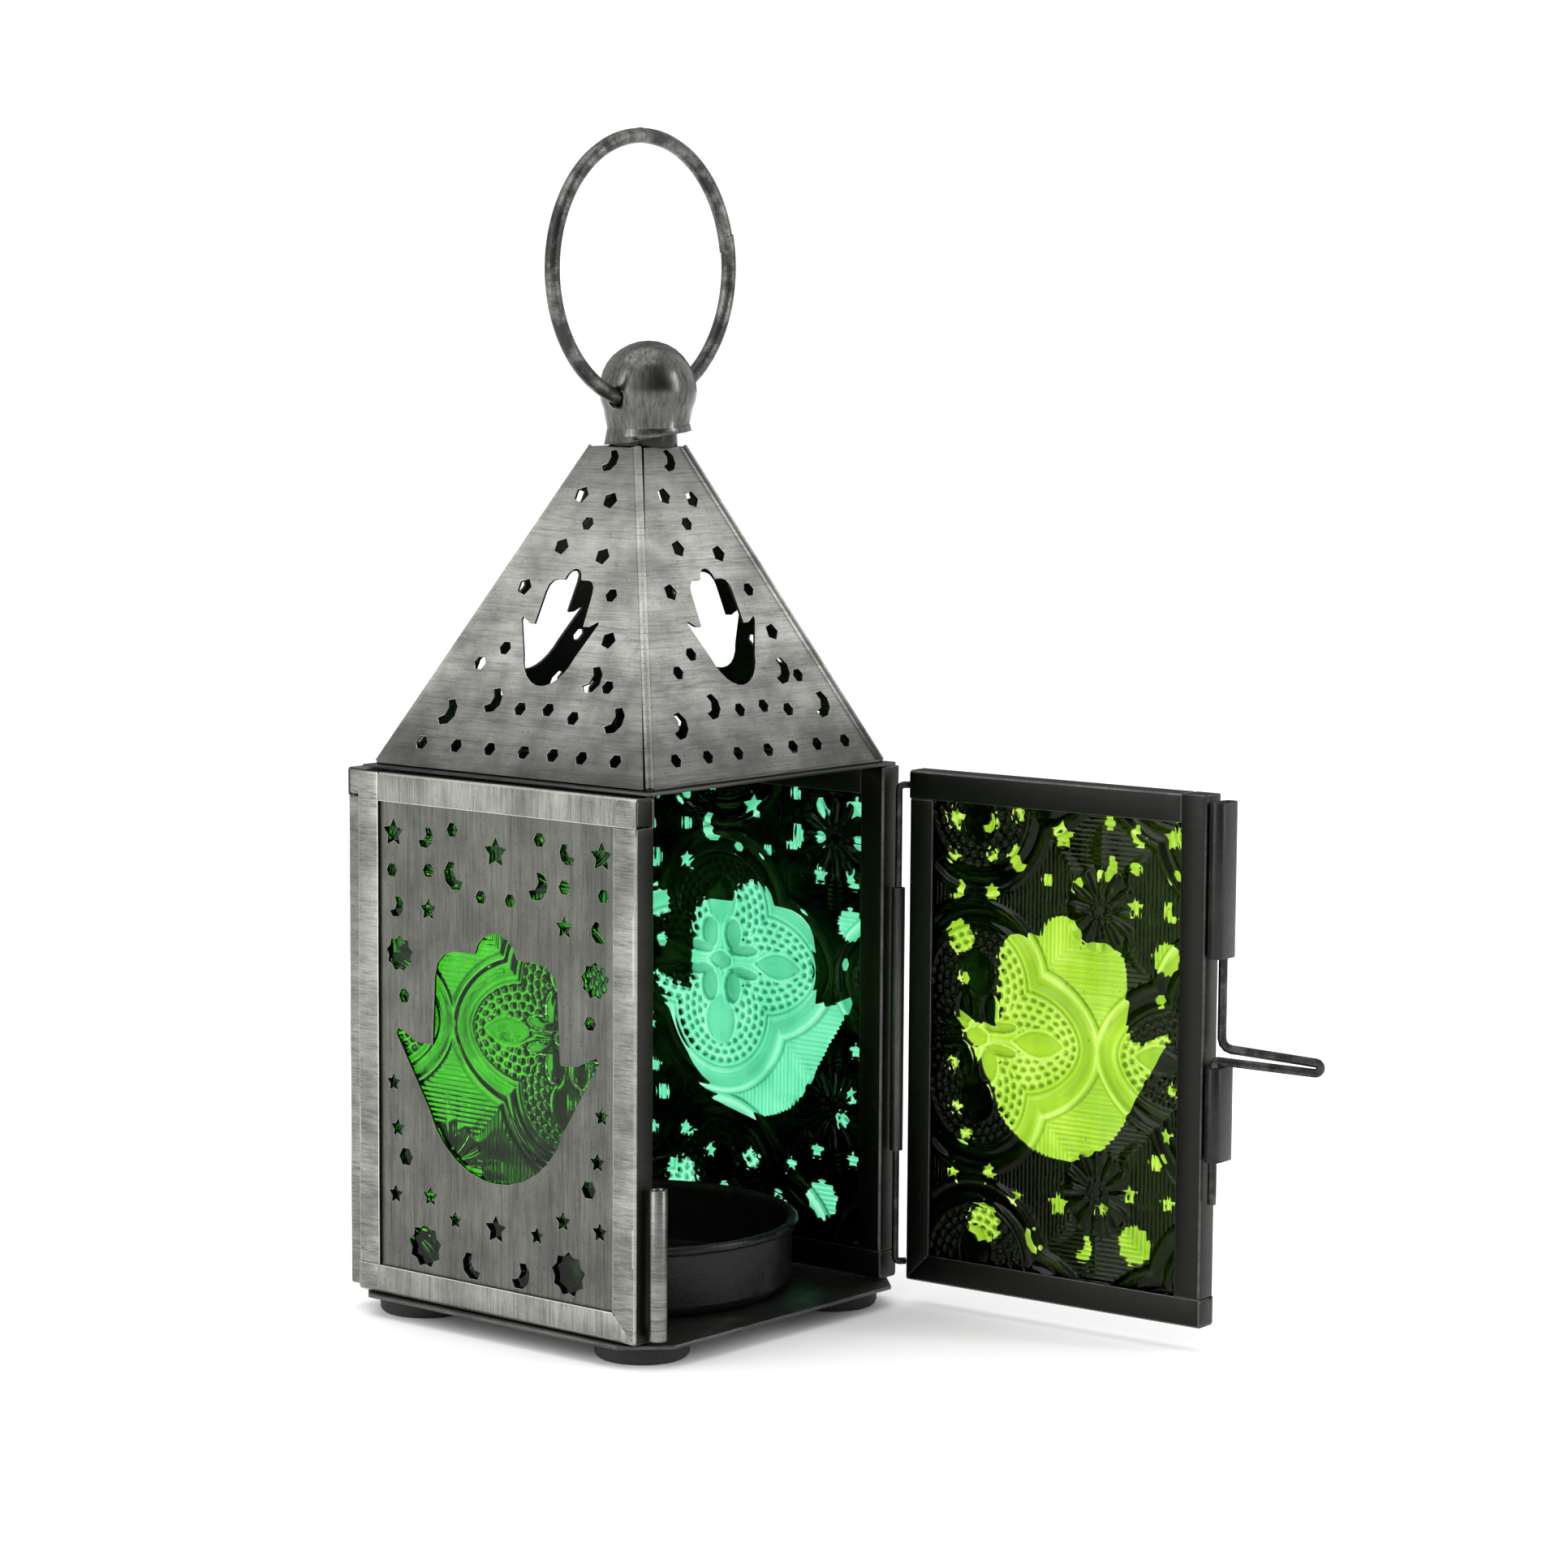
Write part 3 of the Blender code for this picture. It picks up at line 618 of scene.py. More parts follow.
@dataclass(frozen=True)
class Rubber:
    """Matt black foam rubber."""

    name: str
    tone: Colour = (0.007, 0.007, 0.007)
    dust: Colour = (0.035, 0.034, 0.033)
    relief: float = 0.2 * MM

    def material(self) -> bpy.types.Material:
        """Builds the finish.

        Returns:
            The material.
        """
        look = Shading(self.name)
        grit = look.noise(look.coordinates(), 2400.0, 4.0, 0.7)
        colour = look.mix(look.spread(grit, 0.45, 0.8), self.tone, self.dust)
        look.set(Base_Color=colour, Roughness=look.spread(grit, 0.3, 0.7, 0.6, 0.85))
        look.set(Normal=look.bump(grit, self.relief))
        return look.material


@dataclass(frozen=True)
class PressedGlass:
    """Coloured glass, lighter or deeper in colour as an attribute says: its tint with painted light and
    shade.
    """

    name: str
    light: Colour
    middle: Colour
    dark: Colour
    glint: Colour = (0.25, 0.25, 0.25)
    drawn_out: Point = (1.0, 1.0, 0.25)
    relief: float = 0.05 * MM

    def material(self) -> bpy.types.Material:
        """Builds the finish.

        Returns:
            The material.
        """
        look = Shading(self.name)
        plain = look.coordinates()
        streak = look.noise(look.coordinates(self.drawn_out), 260.0, 3.0, 0.5)
        cloud = look.noise(plain, 140.0, 2.0, 0.5)
        seeds = look.noise(plain, 1500.0, 2.0, 0.5)
        # The attribute holds the glass's tint with painted light and shade from its relief.
        share = look.attribute("tint_and_shade")
        for change in (
            look.spread(streak, 0.3, 0.7, -0.07, 0.07),
            look.spread(cloud, 0.35, 0.65, -0.06, 0.06),
            look.spread(seeds, 0.72, 0.77, 0.0, 0.35),
        ):
            share = look.maths("ADD", share, change)
        colour = look.mix(look.spread(share, 0.0, 0.5), self.light, self.middle)
        colour = look.mix(look.spread(share, 0.5, 1.0), colour, self.dark)
        look.set(Base_Color=colour, Roughness=0.04, IOR=1.5, Transmission_Weight=1.0)
        look.set(Specular_Tint=self.glint, Normal=look.bump(streak, self.relief))
        return look.material


# ---- Pressed pattern of the glass ------------------------------------------------------------------


@dataclass(frozen=True)
class Arabesque:
    """The pressed pattern: quatrefoils with dotted lobes, double outlines, reeding and daisies.

    Lengths are in millimetres, and the pattern is mirrored about both axes of each quatrefoil. An
    outline's line is given as its distance outside the lobe, its half width and its strength.
    """

    half_cell: tuple[float, float] = (19.1, 17.7)
    side_lobe: tuple[float, float, float] = (7.4, 8.7, 6.45)
    side_lobe_power: float = 1.8
    side_lobe_radius: float = 7.5
    tall_lobe: tuple[float, float] = (6.3, 7.85)
    band: float = 3.45
    raised_lines: tuple[Point, ...] = (
        (-0.25, 0.22, 0.55), (0.5, 0.28, 0.45), (3.0, 0.48, 0.95), (1.7, 0.75, -0.45),
    )
    # Lines of painted shade along the outlines, painted light where the strength is below 0.
    painted_shade_lines: tuple[Point, ...] = (
        (0.1, 0.13, 0.95), (3.65, 0.16, 0.9), (1.6, 0.7, 0.40), (3.05, 0.4, -0.35),
    )
    # Painted shade over the whole pattern, and how much lighter the dotted lobes are painted.
    ground_shade: float = 0.30
    lobe_shade: float = 0.16
    dot_inset: float = 0.85
    dot_rows: int = 7
    dot_row: float = 1.08
    dot_pitch: float = 1.38
    dot_size: tuple[float, float] = (0.40, 0.30)
    dot_depth: float = 0.85
    leaf: Point = (9.7, 3.85, 1.6)
    pear: Point = (8.0, 3.3, 2.35)
    petal: tuple[float, float, float, float] = (1.95, 3.5, 1.35, 2.1)
    hook: tuple[float, float, float, float] = (4.3, 1.55, 2.5, 0.75)
    oval: tuple[float, float] = (1.75, 1.15)
    reed_pitch: float = 0.62
    daisy_radius: float = 5.4
    petals_in_daisy: int = 12
    sepals: int = 8
    bead_circle: float = 1.15

    def heights(self, x: np.ndarray, z: np.ndarray) -> tuple[np.ndarray, np.ndarray]:
        """The pattern's height and painted light and shade at points measured from a quatrefoil's middle.

        Args:
            x: How far each point is to the right, in millimetres.
            z: How far each point is up, in millimetres.

        Returns:
            The height from -1 to 1, and the painted light and shade from 0 to 1, 1 being darkest.
        """
        width, tall = self.half_cell
        ax = np.abs(np.mod(x + width, 2 * width) - width)
        az = np.abs(np.mod(z + tall, 2 * tall) - tall)
        side_edge, side_turn = self.side_field(ax, az)
        tall_edge, tall_turn = self.tall_field(ax, az)
        sideways = side_edge < tall_edge
        edge = np.where(sideways, side_edge, tall_edge)
        height, tint_and_shade = (
            sum(strength * self.ridge(edge, at, width) for at, width, strength in lines)
            for lines in (self.raised_lines, self.painted_shade_lines)
        )
        dotted, motif_height, motif_painted_shade = self.motif(ax, az)
        ground_height, ground_painted_shade = self.ground(ax, az, edge)
        radius = np.where(sideways, self.side_lobe_radius, self.tall_lobe[1])
        dots = self.dots(edge, np.where(sideways, side_turn, tall_turn), radius)
        dots = np.where((edge < -0.45) & dotted, dots, 0.0)
        height += motif_height + ground_height - self.dot_depth * dots
        # Dots, motif and ground add painted light and shade to the colour.
        tint_and_shade += motif_painted_shade + ground_painted_shade + dots - self.lobe_shade * (edge < -0.3) * dotted
        return height, np.clip(self.ground_shade + tint_and_shade, 0.0, 1.0)

    @staticmethod
    def ridge(value: np.ndarray, at: float, width: float) -> np.ndarray:
        """A soft ridge where the value passes a level.

        Args:
            value: The field.
            at: The level.
            width: Half the ridge's width.

        Returns:
            1 on the level, falling to 0 on both sides.
        """
        return np.exp(-(((value - at) / width) ** 2))

    def side_field(self, ax: np.ndarray, az: np.ndarray) -> tuple[np.ndarray, np.ndarray]:
        """The level lobe, as a field.

        Args:
            ax: Distance from the upright middle line.
            az: Distance from the level middle line.

        Returns:
            How far points lie outside the lobe, and their angle round its middle.
        """
        middle, reach, half = self.side_lobe
        dx, power = ax - middle, self.side_lobe_power
        stretch = (np.abs(dx / reach) ** power + np.abs(az / half) ** power) ** (1 / power) + 1e-6
        return np.hypot(dx, az) * (1 - 1 / stretch), np.arctan2(az / half, dx / reach)

    def tall_field(self, ax: np.ndarray, az: np.ndarray) -> tuple[np.ndarray, np.ndarray]:
        """The upright lobe, as a field.

        Args:
            ax: Distance from the upright middle line.
            az: Distance from the level middle line.

        Returns:
            How far points lie outside the lobe, and their angle round its middle.
        """
        middle, radius = self.tall_lobe
        return np.hypot(ax, az - middle) - radius, np.arctan2(az - middle, ax)

    def dots(self, edge: np.ndarray, turn: np.ndarray, radius: np.ndarray) -> np.ndarray:
        """Pits in staggered rows that follow the lobe's outline.

        Args:
            edge: Distance outside the lobe.
            turn: Angle round its middle.
            radius: Its radius.

        Returns:
            1 in a pit, 0 between.
        """
        row = np.clip(np.round((-self.dot_inset - edge) / self.dot_row), 0, self.dot_rows - 1)
        from_row = edge + self.dot_inset + row * self.dot_row
        along = np.maximum(radius - self.dot_inset - row * self.dot_row, 0.4)
        number = np.maximum(np.round(2 * np.pi * along / self.dot_pitch / 4) * 4, 4)
        place = turn / (2 * np.pi) * number + 0.5 * np.mod(row, 2)
        aside = (place - np.round(place)) / number * 2 * np.pi * along
        distance = np.hypot(aside / self.dot_size[0], from_row / self.dot_size[1])
        return np.clip((1.35 - distance) / 0.55, 0, 1)

    def motif(self, ax: np.ndarray, az: np.ndarray) -> tuple[np.ndarray, np.ndarray, np.ndarray]:
        """The smooth leaves, petals and oval in the middle of the quatrefoil.

        Args:
            ax: Distance from the upright middle line.
            az: Distance from the level middle line.

        Returns:
            Whether there may be dots, the height, and the painted light and shade.
        """
        at, half_length, half_width = self.leaf
        leaf = az / half_width + ((ax - at) / half_length) ** 2
        at, half_length, half_width = self.pear
        bulge = half_width * np.clip(1 - ((az - at) / half_length) ** 2, 0, 1) ** 0.6 + 1e-3
        pear = np.where(np.abs(az - at) < half_length, ax / bulge, 9.0)
        at_x, at_z, half_x, half_z = self.petal
        petal = np.hypot((ax - at_x) / half_x, (az - at_z) / half_z)
        at_x, at_z, half_x, half_z = self.hook
        hook = np.hypot((ax - at_x + 0.35 * az) / half_x, (az - at_z - 0.12 * (ax - at_x)) / half_z)
        oval = np.hypot(ax / self.oval[0], az / self.oval[1])
        smooth = np.minimum(petal, hook)
        height, tint_and_shade = np.zeros_like(ax), np.zeros_like(ax)
        for shape, dome, rim, shade in (
            (leaf, 0.55, 0.45, 0.34),
            (pear, 0.5, 0.4, 0.3),
            (smooth, -0.55, 0.5, 0.55),
            (oval, 0.6, 0.55, 0.42),
        ):
            height += dome * np.sqrt(np.clip(1 - shape, 0, 1)) + rim * self.ridge(shape, 1.16, 0.13)
            tint_and_shade += shade * (shape < 0.98) - 0.25 * self.ridge(shape, 1.16, 0.15)
            tint_and_shade += 0.3 * self.ridge(shape, 0.95, 0.10)
        height += 0.45 * self.ridge(az, 0, 0.3) * (ax > 1.9) * (ax < 6.0)
        height += 0.45 * self.ridge(ax, 0, 0.3) * (az > 1.3) * (az < 4.8)
        core = (ax < 3.35) & (az < 6.1) | (ax < 6.2) & (az < 1.9)
        return (leaf > 1.3) & (pear > 1.22) & (smooth > 1.32) & ~core, height, tint_and_shade

    def ground(self, ax: np.ndarray, az: np.ndarray, edge: np.ndarray) -> tuple[np.ndarray, np.ndarray]:
        """Reeding and a many-petalled daisy between the quatrefoils.

        Args:
            ax: Distance from the upright middle line.
            az: Distance from the level middle line.
            edge: Distance outside the lobes.

        Returns:
            The height, and the painted light and shade.
        """
        fx, fz = self.half_cell[0] - ax, self.half_cell[1] - az
        r, turn = np.hypot(fx, fz), np.arctan2(fz, fx)
        outside = np.clip((edge - self.band - 0.25) / 0.25, 0, 1)
        lines = np.cos(2 * np.pi * np.where(fx > fz, ax, az) / self.reed_pitch)
        reeds = outside * np.clip((r - self.daisy_radius) / 0.3, 0, 1)
        petal = np.clip(np.cos(self.petals_in_daisy * turn) + 0.4 - 0.25 * np.abs(r - 3.6), 0, 1)
        petal *= np.clip((r - 1.7) / 0.3, 0, 1) * np.clip((self.daisy_radius - r) / 0.5, 0, 1) * outside
        sepal = np.clip(np.cos(self.sepals * turn) - 0.25 * np.abs(r - 6.6), 0, 1) * (r > 5.3) * outside
        bead_turn = turn / (2 * np.pi) * self.sepals
        aside = (bead_turn - np.round(bead_turn)) / self.sepals * 2 * np.pi * self.bead_circle
        beads = np.clip((0.42 - np.hypot(r - self.bead_circle, aside)) / 0.2, 0, 1) * outside
        height = 0.22 * lines * reeds + 0.9 * petal + 0.6 * beads + 0.5 * sepal
        shade = 0.35 * outside * (r < self.daisy_radius) * (1 - petal) - 0.1 * petal
        return height, 0.22 * (lines < 0) * reeds + shade


# ---- The glazed panels -----------------------------------------------------------------------------


@dataclass
class Panel:
    """One framed panel: four folded rails, a pierced sheet and a pressed pane behind it."""

    name: str
    body: Body
    middle: Vector
    right: Vector
    outward: Vector
    half_width: float
    half_height: float
    stiles: tuple[str, str]
    glass: PressedGlass
    glass_slot: Slot
    pattern_middle: tuple[float, float]
    pattern_sign: int = 1
    pattern_stretch: float = 1.0
    side_polish: float = 0.05
    edge_polish: float = 0.4
    # Polish of the burrs: rubbed metal, partly a painted highlight.
    burr_polish_and_highlight: float = 1.7
    depth: float = 3.5 * MM
    face: float = 3.6 * MM
    tin: float = 0.35 * MM
    fold: float = 0.45 * MM
    lip: float = 0.1 * MM
    spans: int = 14
    waver: float = 0.07 * MM
    waver_length: float = 7 * MM
    glass_depths: tuple[float, float] = (1.1 * MM, 2.95 * MM)
    glass_margin: float = 0.65 * MM
    plain_margin: float = 1.5 * MM
    relief: float = 0.34 * MM
    grid_pitch: float = 0.182 * MM
    flat_depth: float = 0.50
    back_depth: float = 0.3
    # Painted light and shade on the slopes, by the side they face.
    shading: float = -0.36

    def build(self, finishes: dict[str, bpy.types.Material]) -> None:
        """Builds and dresses all its pieces.

        Args:
            finishes: The materials by name.
        """
        full, butt, mitre = RailEnd.FULL, RailEnd.BUTTED, RailEnd.MITRED
        left, right = (f"{stile}_stile" for stile in self.stiles)
        for part, along, away, ends in (
            ("bottom_rail", self.right, -UP, (full, mitre)),
            (right, UP, self.right, (mitre, butt)),
            ("top_rail", self.right, UP, (butt, full)),
            (left, UP, -self.right, (butt, full)),
        ):
            self.rail(part, along, away, ends, finishes["stile" if along is UP else "rail"])
        self.corner_folds(finishes["stile"])
        self.sheet(finishes["sheet"])
        self.pane()

    def rail(
        self, part: str, along: Vector, away: Vector, ends: tuple[RailEnd, RailEnd],
        material: bpy.types.Material,
    ) -> None:
        """Reshapes a copy of the CAD rail: its ends, its folded edges and a slight waver.

        Args:
            part: The rail's part of the node name.
            along: The way it runs.
            away: The way from the panel's middle to the rail.
            ends: How it ends at the start and at the end of the run.
            material: Its finish.
        """
        node = f"{self.name}_{part}"
        obj = copy_of(node, f"{node}_folded")
        half_length, reach = self.half_width, self.half_height
        if along is UP:
            half_length, reach = reach, half_length
        for vertex in obj.data.vertices:
            offset = vertex.co - self.middle
            run, height = offset.dot(along), reach - offset.dot(away)
            limit = {
                RailEnd.MITRED: half_length - height - 0.05 * MM,
                RailEnd.FULL: half_length - 0.02 * MM,
                RailEnd.BUTTED: half_length - self.face - 0.04 * MM,
            }[ends[1] if run > 0 else ends[0]]
            vertex.co += along * (math.copysign(limit, run) - run)

        def is_fold(edge: bmesh.types.BMEdge) -> bool:
            """Tells the two long outer folds from the other edges.

            Args:
                edge: An edge of the rail.

            Returns:
                Whether it is one of the folds.
            """
            ways = [vertex.co - self.middle for vertex in edge.verts]
            back = all(reach - way.dot(away) < 0.01 * MM for way in ways)
            depths = {round(-way.dot(self.outward) / MM, 1) for way in ways}
            near = min(min(abs(depth), abs(depth - self.depth / MM)) for depth in depths)
            return back and len(depths) == 1 and near < 0.06

        with editing(obj) as mesh:
            pick_edges(mesh, is_fold)
            bpy.ops.mesh.bevel(offset=self.fold, segments=4, profile=0.5, affect="EDGES")
            for cut in range(1, self.spans):
                bpy.ops.mesh.select_all(action="SELECT")
                place = self.middle + away * reach + along * half_length * (2 * cut / self.spans - 1)
                bpy.ops.mesh.bisect(plane_co=place, plane_no=along)
        seed = Vector((7.1, 3.3, 1.7)) * (1 + len(node))
        for vertex in obj.data.vertices:
            if (vertex.co - self.middle).dot(self.outward) > -self.tin - 0.1 * MM:
                waver = noise.noise(vertex.co / self.waver_length + seed)
                vertex.co += self.outward * (self.waver * waver - 0.08 * MM)
        ease(obj, self.lip, 2, 50)
        settle(obj, f"{node}_folded")
        self.paint_by_side(obj, reach, away)
        place_piece(obj, material, self.body, [node])

    def corner_folds(self, material: bpy.types.Material) -> None:
        """Fills the four corners, where one rail's tin is folded round the end of the next.

        Args:
            material: Its finish.
        """
        width, thick = self.face - 0.12 * MM, self.depth - 0.14 * MM
        inset = width / 2 + 0.05 * MM
        blocks = []
        for side, level in ((-1, -1), (1, -1), (1, 1), (-1, 1)):
            place = self.middle - self.outward * (self.depth / 2)
            place += self.right * side * (self.half_width - inset) + UP * level * (self.half_height - inset)
            bpy.ops.object.select_all(action="DESELECT")
            bpy.ops.mesh.primitive_cube_add(size=1, location=place)
            block = bpy.context.object
            block.rotation_mode = "QUATERNION"
            block.rotation_quaternion = Matrix((self.right, self.outward, UP)).transposed().to_quaternion()
            block.scale = (width, thick, width)
            bpy.ops.object.transform_apply(location=True, rotation=True, scale=True)
            blocks.append(block)
        activate(blocks[0])
        for block in blocks:
            block.select_set(True)
        bpy.ops.object.join()
        obj = bpy.context.object
        ease(obj, self.fold, 3)
        settle(obj, f"{self.name}_corner_folds")
        self.paint_by_side(obj)
        place_piece(obj, material, self.body)

    def paint_by_side(self, obj: bpy.types.Object, reach: float = 0.0, away: Vector | None = None) -> None:
        """Sets the polish: bright outside, black on the edges and inside, burrs and folds brighter with
        painted highlight.

        Args:
            obj: The piece.
            reach: How far a rail's back is from the panel's middle.
            away: The way from the panel's middle to the rail, or None for a sheet.
        """
        values = []
        for face in obj.data.polygons:
            facing = face.normal.dot(self.outward)
            value = float(np.clip((facing + 0.05) / 0.6, 0, 1))
            if away is None or face.normal.dot(away) > 0.7:
                value = max(value, self.side_polish)
            # Burrs and the rails' rounded outer folds: rubbed metal, painted brighter partly as a highlight.
            if away is None and 0.3 < facing < 0.95:
                value = self.burr_polish_and_highlight
            elif away is not None:
                height = reach - (face.center - self.middle).dot(away)
                if height > self.face - 0.2 * MM and 0.2 < facing < 0.98:
                    value = self.burr_polish_and_highlight
                elif height < self.fold * 1.1 and 0.5 < facing < 0.98:
                    value = 1.35
            square = max(abs(face.normal.dot(way)) for way in (self.outward, self.right, UP)) >= 0.96
            values.append(value if square else max(value, self.edge_polish))
        paint(obj, "polish", values)

    def sheet(self, material: bpy.types.Material) -> None:
        """Eases the rims of the pierced sheet's holes into burrs.

        Args:
            material: Its finish.
        """
        node = f"{self.name}_pierced_sheet"
        obj = copy_of(node, f"{node}_burred")
        ease(obj, self.lip, 1, 60)
        settle(obj, f"{node}_burred", 25)
        self.paint_by_side(obj)
        place_piece(obj, material, self.body, [node])

    def pane(self) -> None:
        """Presses the pattern into the inner face of a pane of glass."""
        half = self.half_width - self.glass_margin, self.half_height - self.glass_margin
        cells = [round(2 * h / self.grid_pitch) for h in half]
        bpy.ops.mesh.primitive_grid_add(x_subdivisions=cells[0], y_subdivisions=cells[1], size=2)
        obj = bpy.context.object
        with editing(obj, everything=True):
            bpy.ops.mesh.region_to_loop()
            bpy.ops.mesh.extrude_edges_move(TRANSFORM_OT_translate={"value": (0, 0, -1)})
            bpy.ops.mesh.edge_face_add()
        count = len(obj.data.vertices)
        flat = np.empty(count * 3, np.float32)
        obj.data.vertices.foreach_get("co", flat)
        flat = flat.reshape(-1, 3).astype(float)
        x, z, pressed = flat[:, 0] * half[0], flat[:, 1] * half[1], flat[:, 2] > -0.5
        height, tint_and_shade = self.pressed(x, z)
        inset = np.minimum(half[0] - np.abs(x), half[1] - np.abs(z))
        height = np.where(inset > self.plain_margin, np.clip(height, -1.1, 1.0), 0.0)
        outer, inner = self.glass_depths
        depth = np.where(pressed, inner - self.relief * (1 - height), outer)
        places = np.array(self.middle) + np.outer(x, self.right) - np.outer(depth, self.outward)
        places[:, 2] += z
        obj.data.vertices.foreach_set("co", places.astype(np.float32).ravel())
        settle(obj, f"{self.name}_pressed_pane", 60)
        if len(obj.data.vertices) == count:
            # The pressed face carries the tint with painted light and shade; the back carries the plain tint.
            paint(obj, "tint_and_shade", np.where(pressed, tint_and_shade, self.back_depth), "POINT")
        place_piece(obj, self.glass.material(), self.body, [f"{self.name}_glass"])

    def pressed(self, x: np.ndarray, z: np.ndarray) -> tuple[np.ndarray, np.ndarray]:
        """The pattern over the pane with painted light and shade, its slopes darker or lighter by the side
        they face.

        Args:
            x: How far each point is to the right of the panel's middle.
            z: How far each point is above it.

        Returns:
            The height from -1 to 1, and the glass's tint with painted light and shade, from 0 to 1.
        """
        pattern = Arabesque()
        px = (x * self.pattern_sign / MM - self.pattern_middle[0]) / self.pattern_stretch
        pz = z / MM - self.pattern_middle[1]
        height, tint_and_shade = pattern.heights(px, pz)
        rise = self.grid_pitch / MM
        step = rise * self.pattern_sign
        slope = pattern.heights(px - step, pz + rise)[0] - pattern.heights(px + step, pz - rise)[0]
        tint_and_shade = self.flat_depth + 0.55 * (tint_and_shade - pattern.ground_shade)
        return height, np.clip(tint_and_shade + self.shading * np.clip(slope, -1.4, 1.4), 0, 1)


@dataclass
class Panels:
    """The two side panels, the rear panel and the open door."""

    centre: Vector
    hinge: Vector
    open_degrees: float = 93.0
    body_half: float = 25.4 * MM
    panel_size: tuple[float, float] = (23.3 * MM, 33.05 * MM)
    bottom: float = 3.1 * MM
    rear_outer: float = 27.0 * MM
    door_size: tuple[float, float] = (21.9 * MM, 32.85 * MM)
    door_bottom: float = 3.2 * MM
    door_edge: float = 1.48 * MM
    door_face: float = 3.6 * MM

    def build(self) -> None:
        """Builds the four panels."""
        rail = AntiqueTin("brushed_rail", Grain.UPRIGHT, (0.11, 0.113, 0.1), (0.38, 0.388, 0.348))
        stile = AntiqueTin("brushed_stile", Grain.ACROSS_RAIL, (0.1, 0.103, 0.091), (0.36, 0.367, 0.33))
        sheet = AntiqueTin("brushed_sheet", Grain.UPRIGHT, (0.055, 0.057, 0.05), (0.18, 0.187, 0.162))
        finishes = {"rail": rail.material(), "stile": stile.material(), "sheet": sheet.material()}
        green = PressedGlass("green_pane", (0.45, 0.95, 0.28), (0.12, 0.58, 0.06), (0.006, 0.10, 0.01))
        rear_green = PressedGlass("rear_green_pane", (0.5, 0.95, 0.3), (0.2, 0.7, 0.10), (0.02, 0.22, 0.02))
        teal = PressedGlass("teal_pane", (0.56, 0.95, 0.76), (0.06, 0.58, 0.27), (0.001, 0.06, 0.026))
        lime = PressedGlass("lime_pane", (0.86, 1.0, 0.30), (0.24, 0.52, 0.008), (0.018, 0.065, 0.0004))
        mid = self.centre + UP * (self.bottom + self.panel_size[1])
        side, front = Vector((1, 0, 0)), Vector((0, -1, 0))
        swing = Matrix.Rotation(math.radians(self.open_degrees), 3, "Z")
        toward_free, outward = swing @ -side, swing @ front
        door = self.hinge + toward_free * (self.door_edge + self.door_size[0]) + outward * self.door_face
        door.z = self.door_bottom + self.door_size[1]
        for panel in (
            Panel(
                "left", Body.LANTERN, mid - side * self.body_half, front, -side, *self.panel_size,
                ("rear", "front"), green, Slot.GREEN, (10.5, 2.5),
            ),
            Panel(
                "right", Body.LANTERN, mid + side * self.body_half, -front, side, *self.panel_size,
                ("front", "rear"), teal, Slot.TEAL, (-4.2, 5.5), -1,
            ),
            Panel(
                "rear", Body.LANTERN, mid - front * self.rear_outer, -side, -front, *self.panel_size,
                ("right", "left"), rear_green, Slot.GREEN, (3.0, -6.0), side_polish=0.9,
            ),
            Panel(
                "door", Body.DOOR, door, -toward_free, outward, *self.door_size,
                ("latch", "hinge"), lime, Slot.LIME, (-11.7, -0.3), -1, 0.95,
            ),
        ):
            panel.build(finishes)


# ---- Pieces that keep the CAD's shape --------------------------------------------------------------


@dataclass(frozen=True)
class Refined:
    """A CAD solid made again with whole faces, eased edges and smooth round parts."""

    node: str
    name: str
    body: Body
    slot: Slot
    edge: float
    segments: int = 2
    smooth_degrees: float = 40.0
    dents: float = 0.0
    dent_length: float = 4 * MM
    outward: Vector | None = None

    def build(self, material: bpy.types.Material) -> bpy.types.Object:
        """Builds and dresses the piece.

        Args:
            material: Its finish.

        Returns:
            The piece.
        """
        obj = copy_of(self.node, self.name)
        ease(obj, self.edge, self.segments, 40)
        settle(obj, self.name, self.smooth_degrees)
        if self.dents:
            for vertex in obj.data.vertices:
                dent = noise.noise(vertex.co / self.dent_length) - 0.3
                vertex.co += vertex.normal * dent * self.dents
        if self.outward is None:
            polish_all(obj)
        else:
            facing = [face.normal.dot(self.outward) for face in obj.data.polygons]
            # Burrs on the outer face: rubbed metal, painted bright partly as a highlight.
            paint(obj, "polish", [1.6 if 0.3 < way < 0.95 else float(way > 0.2) for way in facing])
        return place_piece(obj, material, self.body, [self.node])


@dataclass
class Base:
    """The base plate on its four pads, and the cup for one small candle."""

    pads: tuple[str, ...] = ("front_left_foot", "front_right_foot", "rear_left_foot", "rear_right_foot")
    bead: float = 0.42 * MM
    rim_steps: int = 96

    def build(self) -> None:
        """Builds the pads, the plate and the cup."""
        rubber = Rubber("foam_rubber").material()
        for node in self.pads:
            Refined(node, f"{node}_pad", Body.LANTERN, Slot.PAD, 0.25 * MM, 3).build(rubber)
        plate = AntiqueTin("base_tin", Grain.LEVEL, (0.04, 0.04, 0.038), (0.16, 0.16, 0.15)).material()
        Refined("base_plate", "base_plate_trimmed", Body.LANTERN, Slot.FRAME, 0.1 * MM).build(plate)
        dark = BlackedTin("blacked_cup", roughness=0.3).material()
        Refined("tealight_cup", "tealight_cup_turned", Body.LANTERN, Slot.DARK, 0.07 * MM).build(dark)
        low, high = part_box("tealight_cup")
        radius = (high.x - low.x) / 2 - self.bead
        middle = plan_middle("tealight_cup") + UP * (high.z - self.bead)
        turns = (2 * math.pi * i / self.rim_steps for i in range(self.rim_steps))
        rim = (middle + Vector((math.cos(turn), math.sin(turn), 0)) * radius for turn in turns)
        bead = wire("tealight_cup_rim", rim, self.bead, closed=True)
        place_piece(bead, BlackedTin("blacked_rim", roughness=0.12).material(), Body.LANTERN)


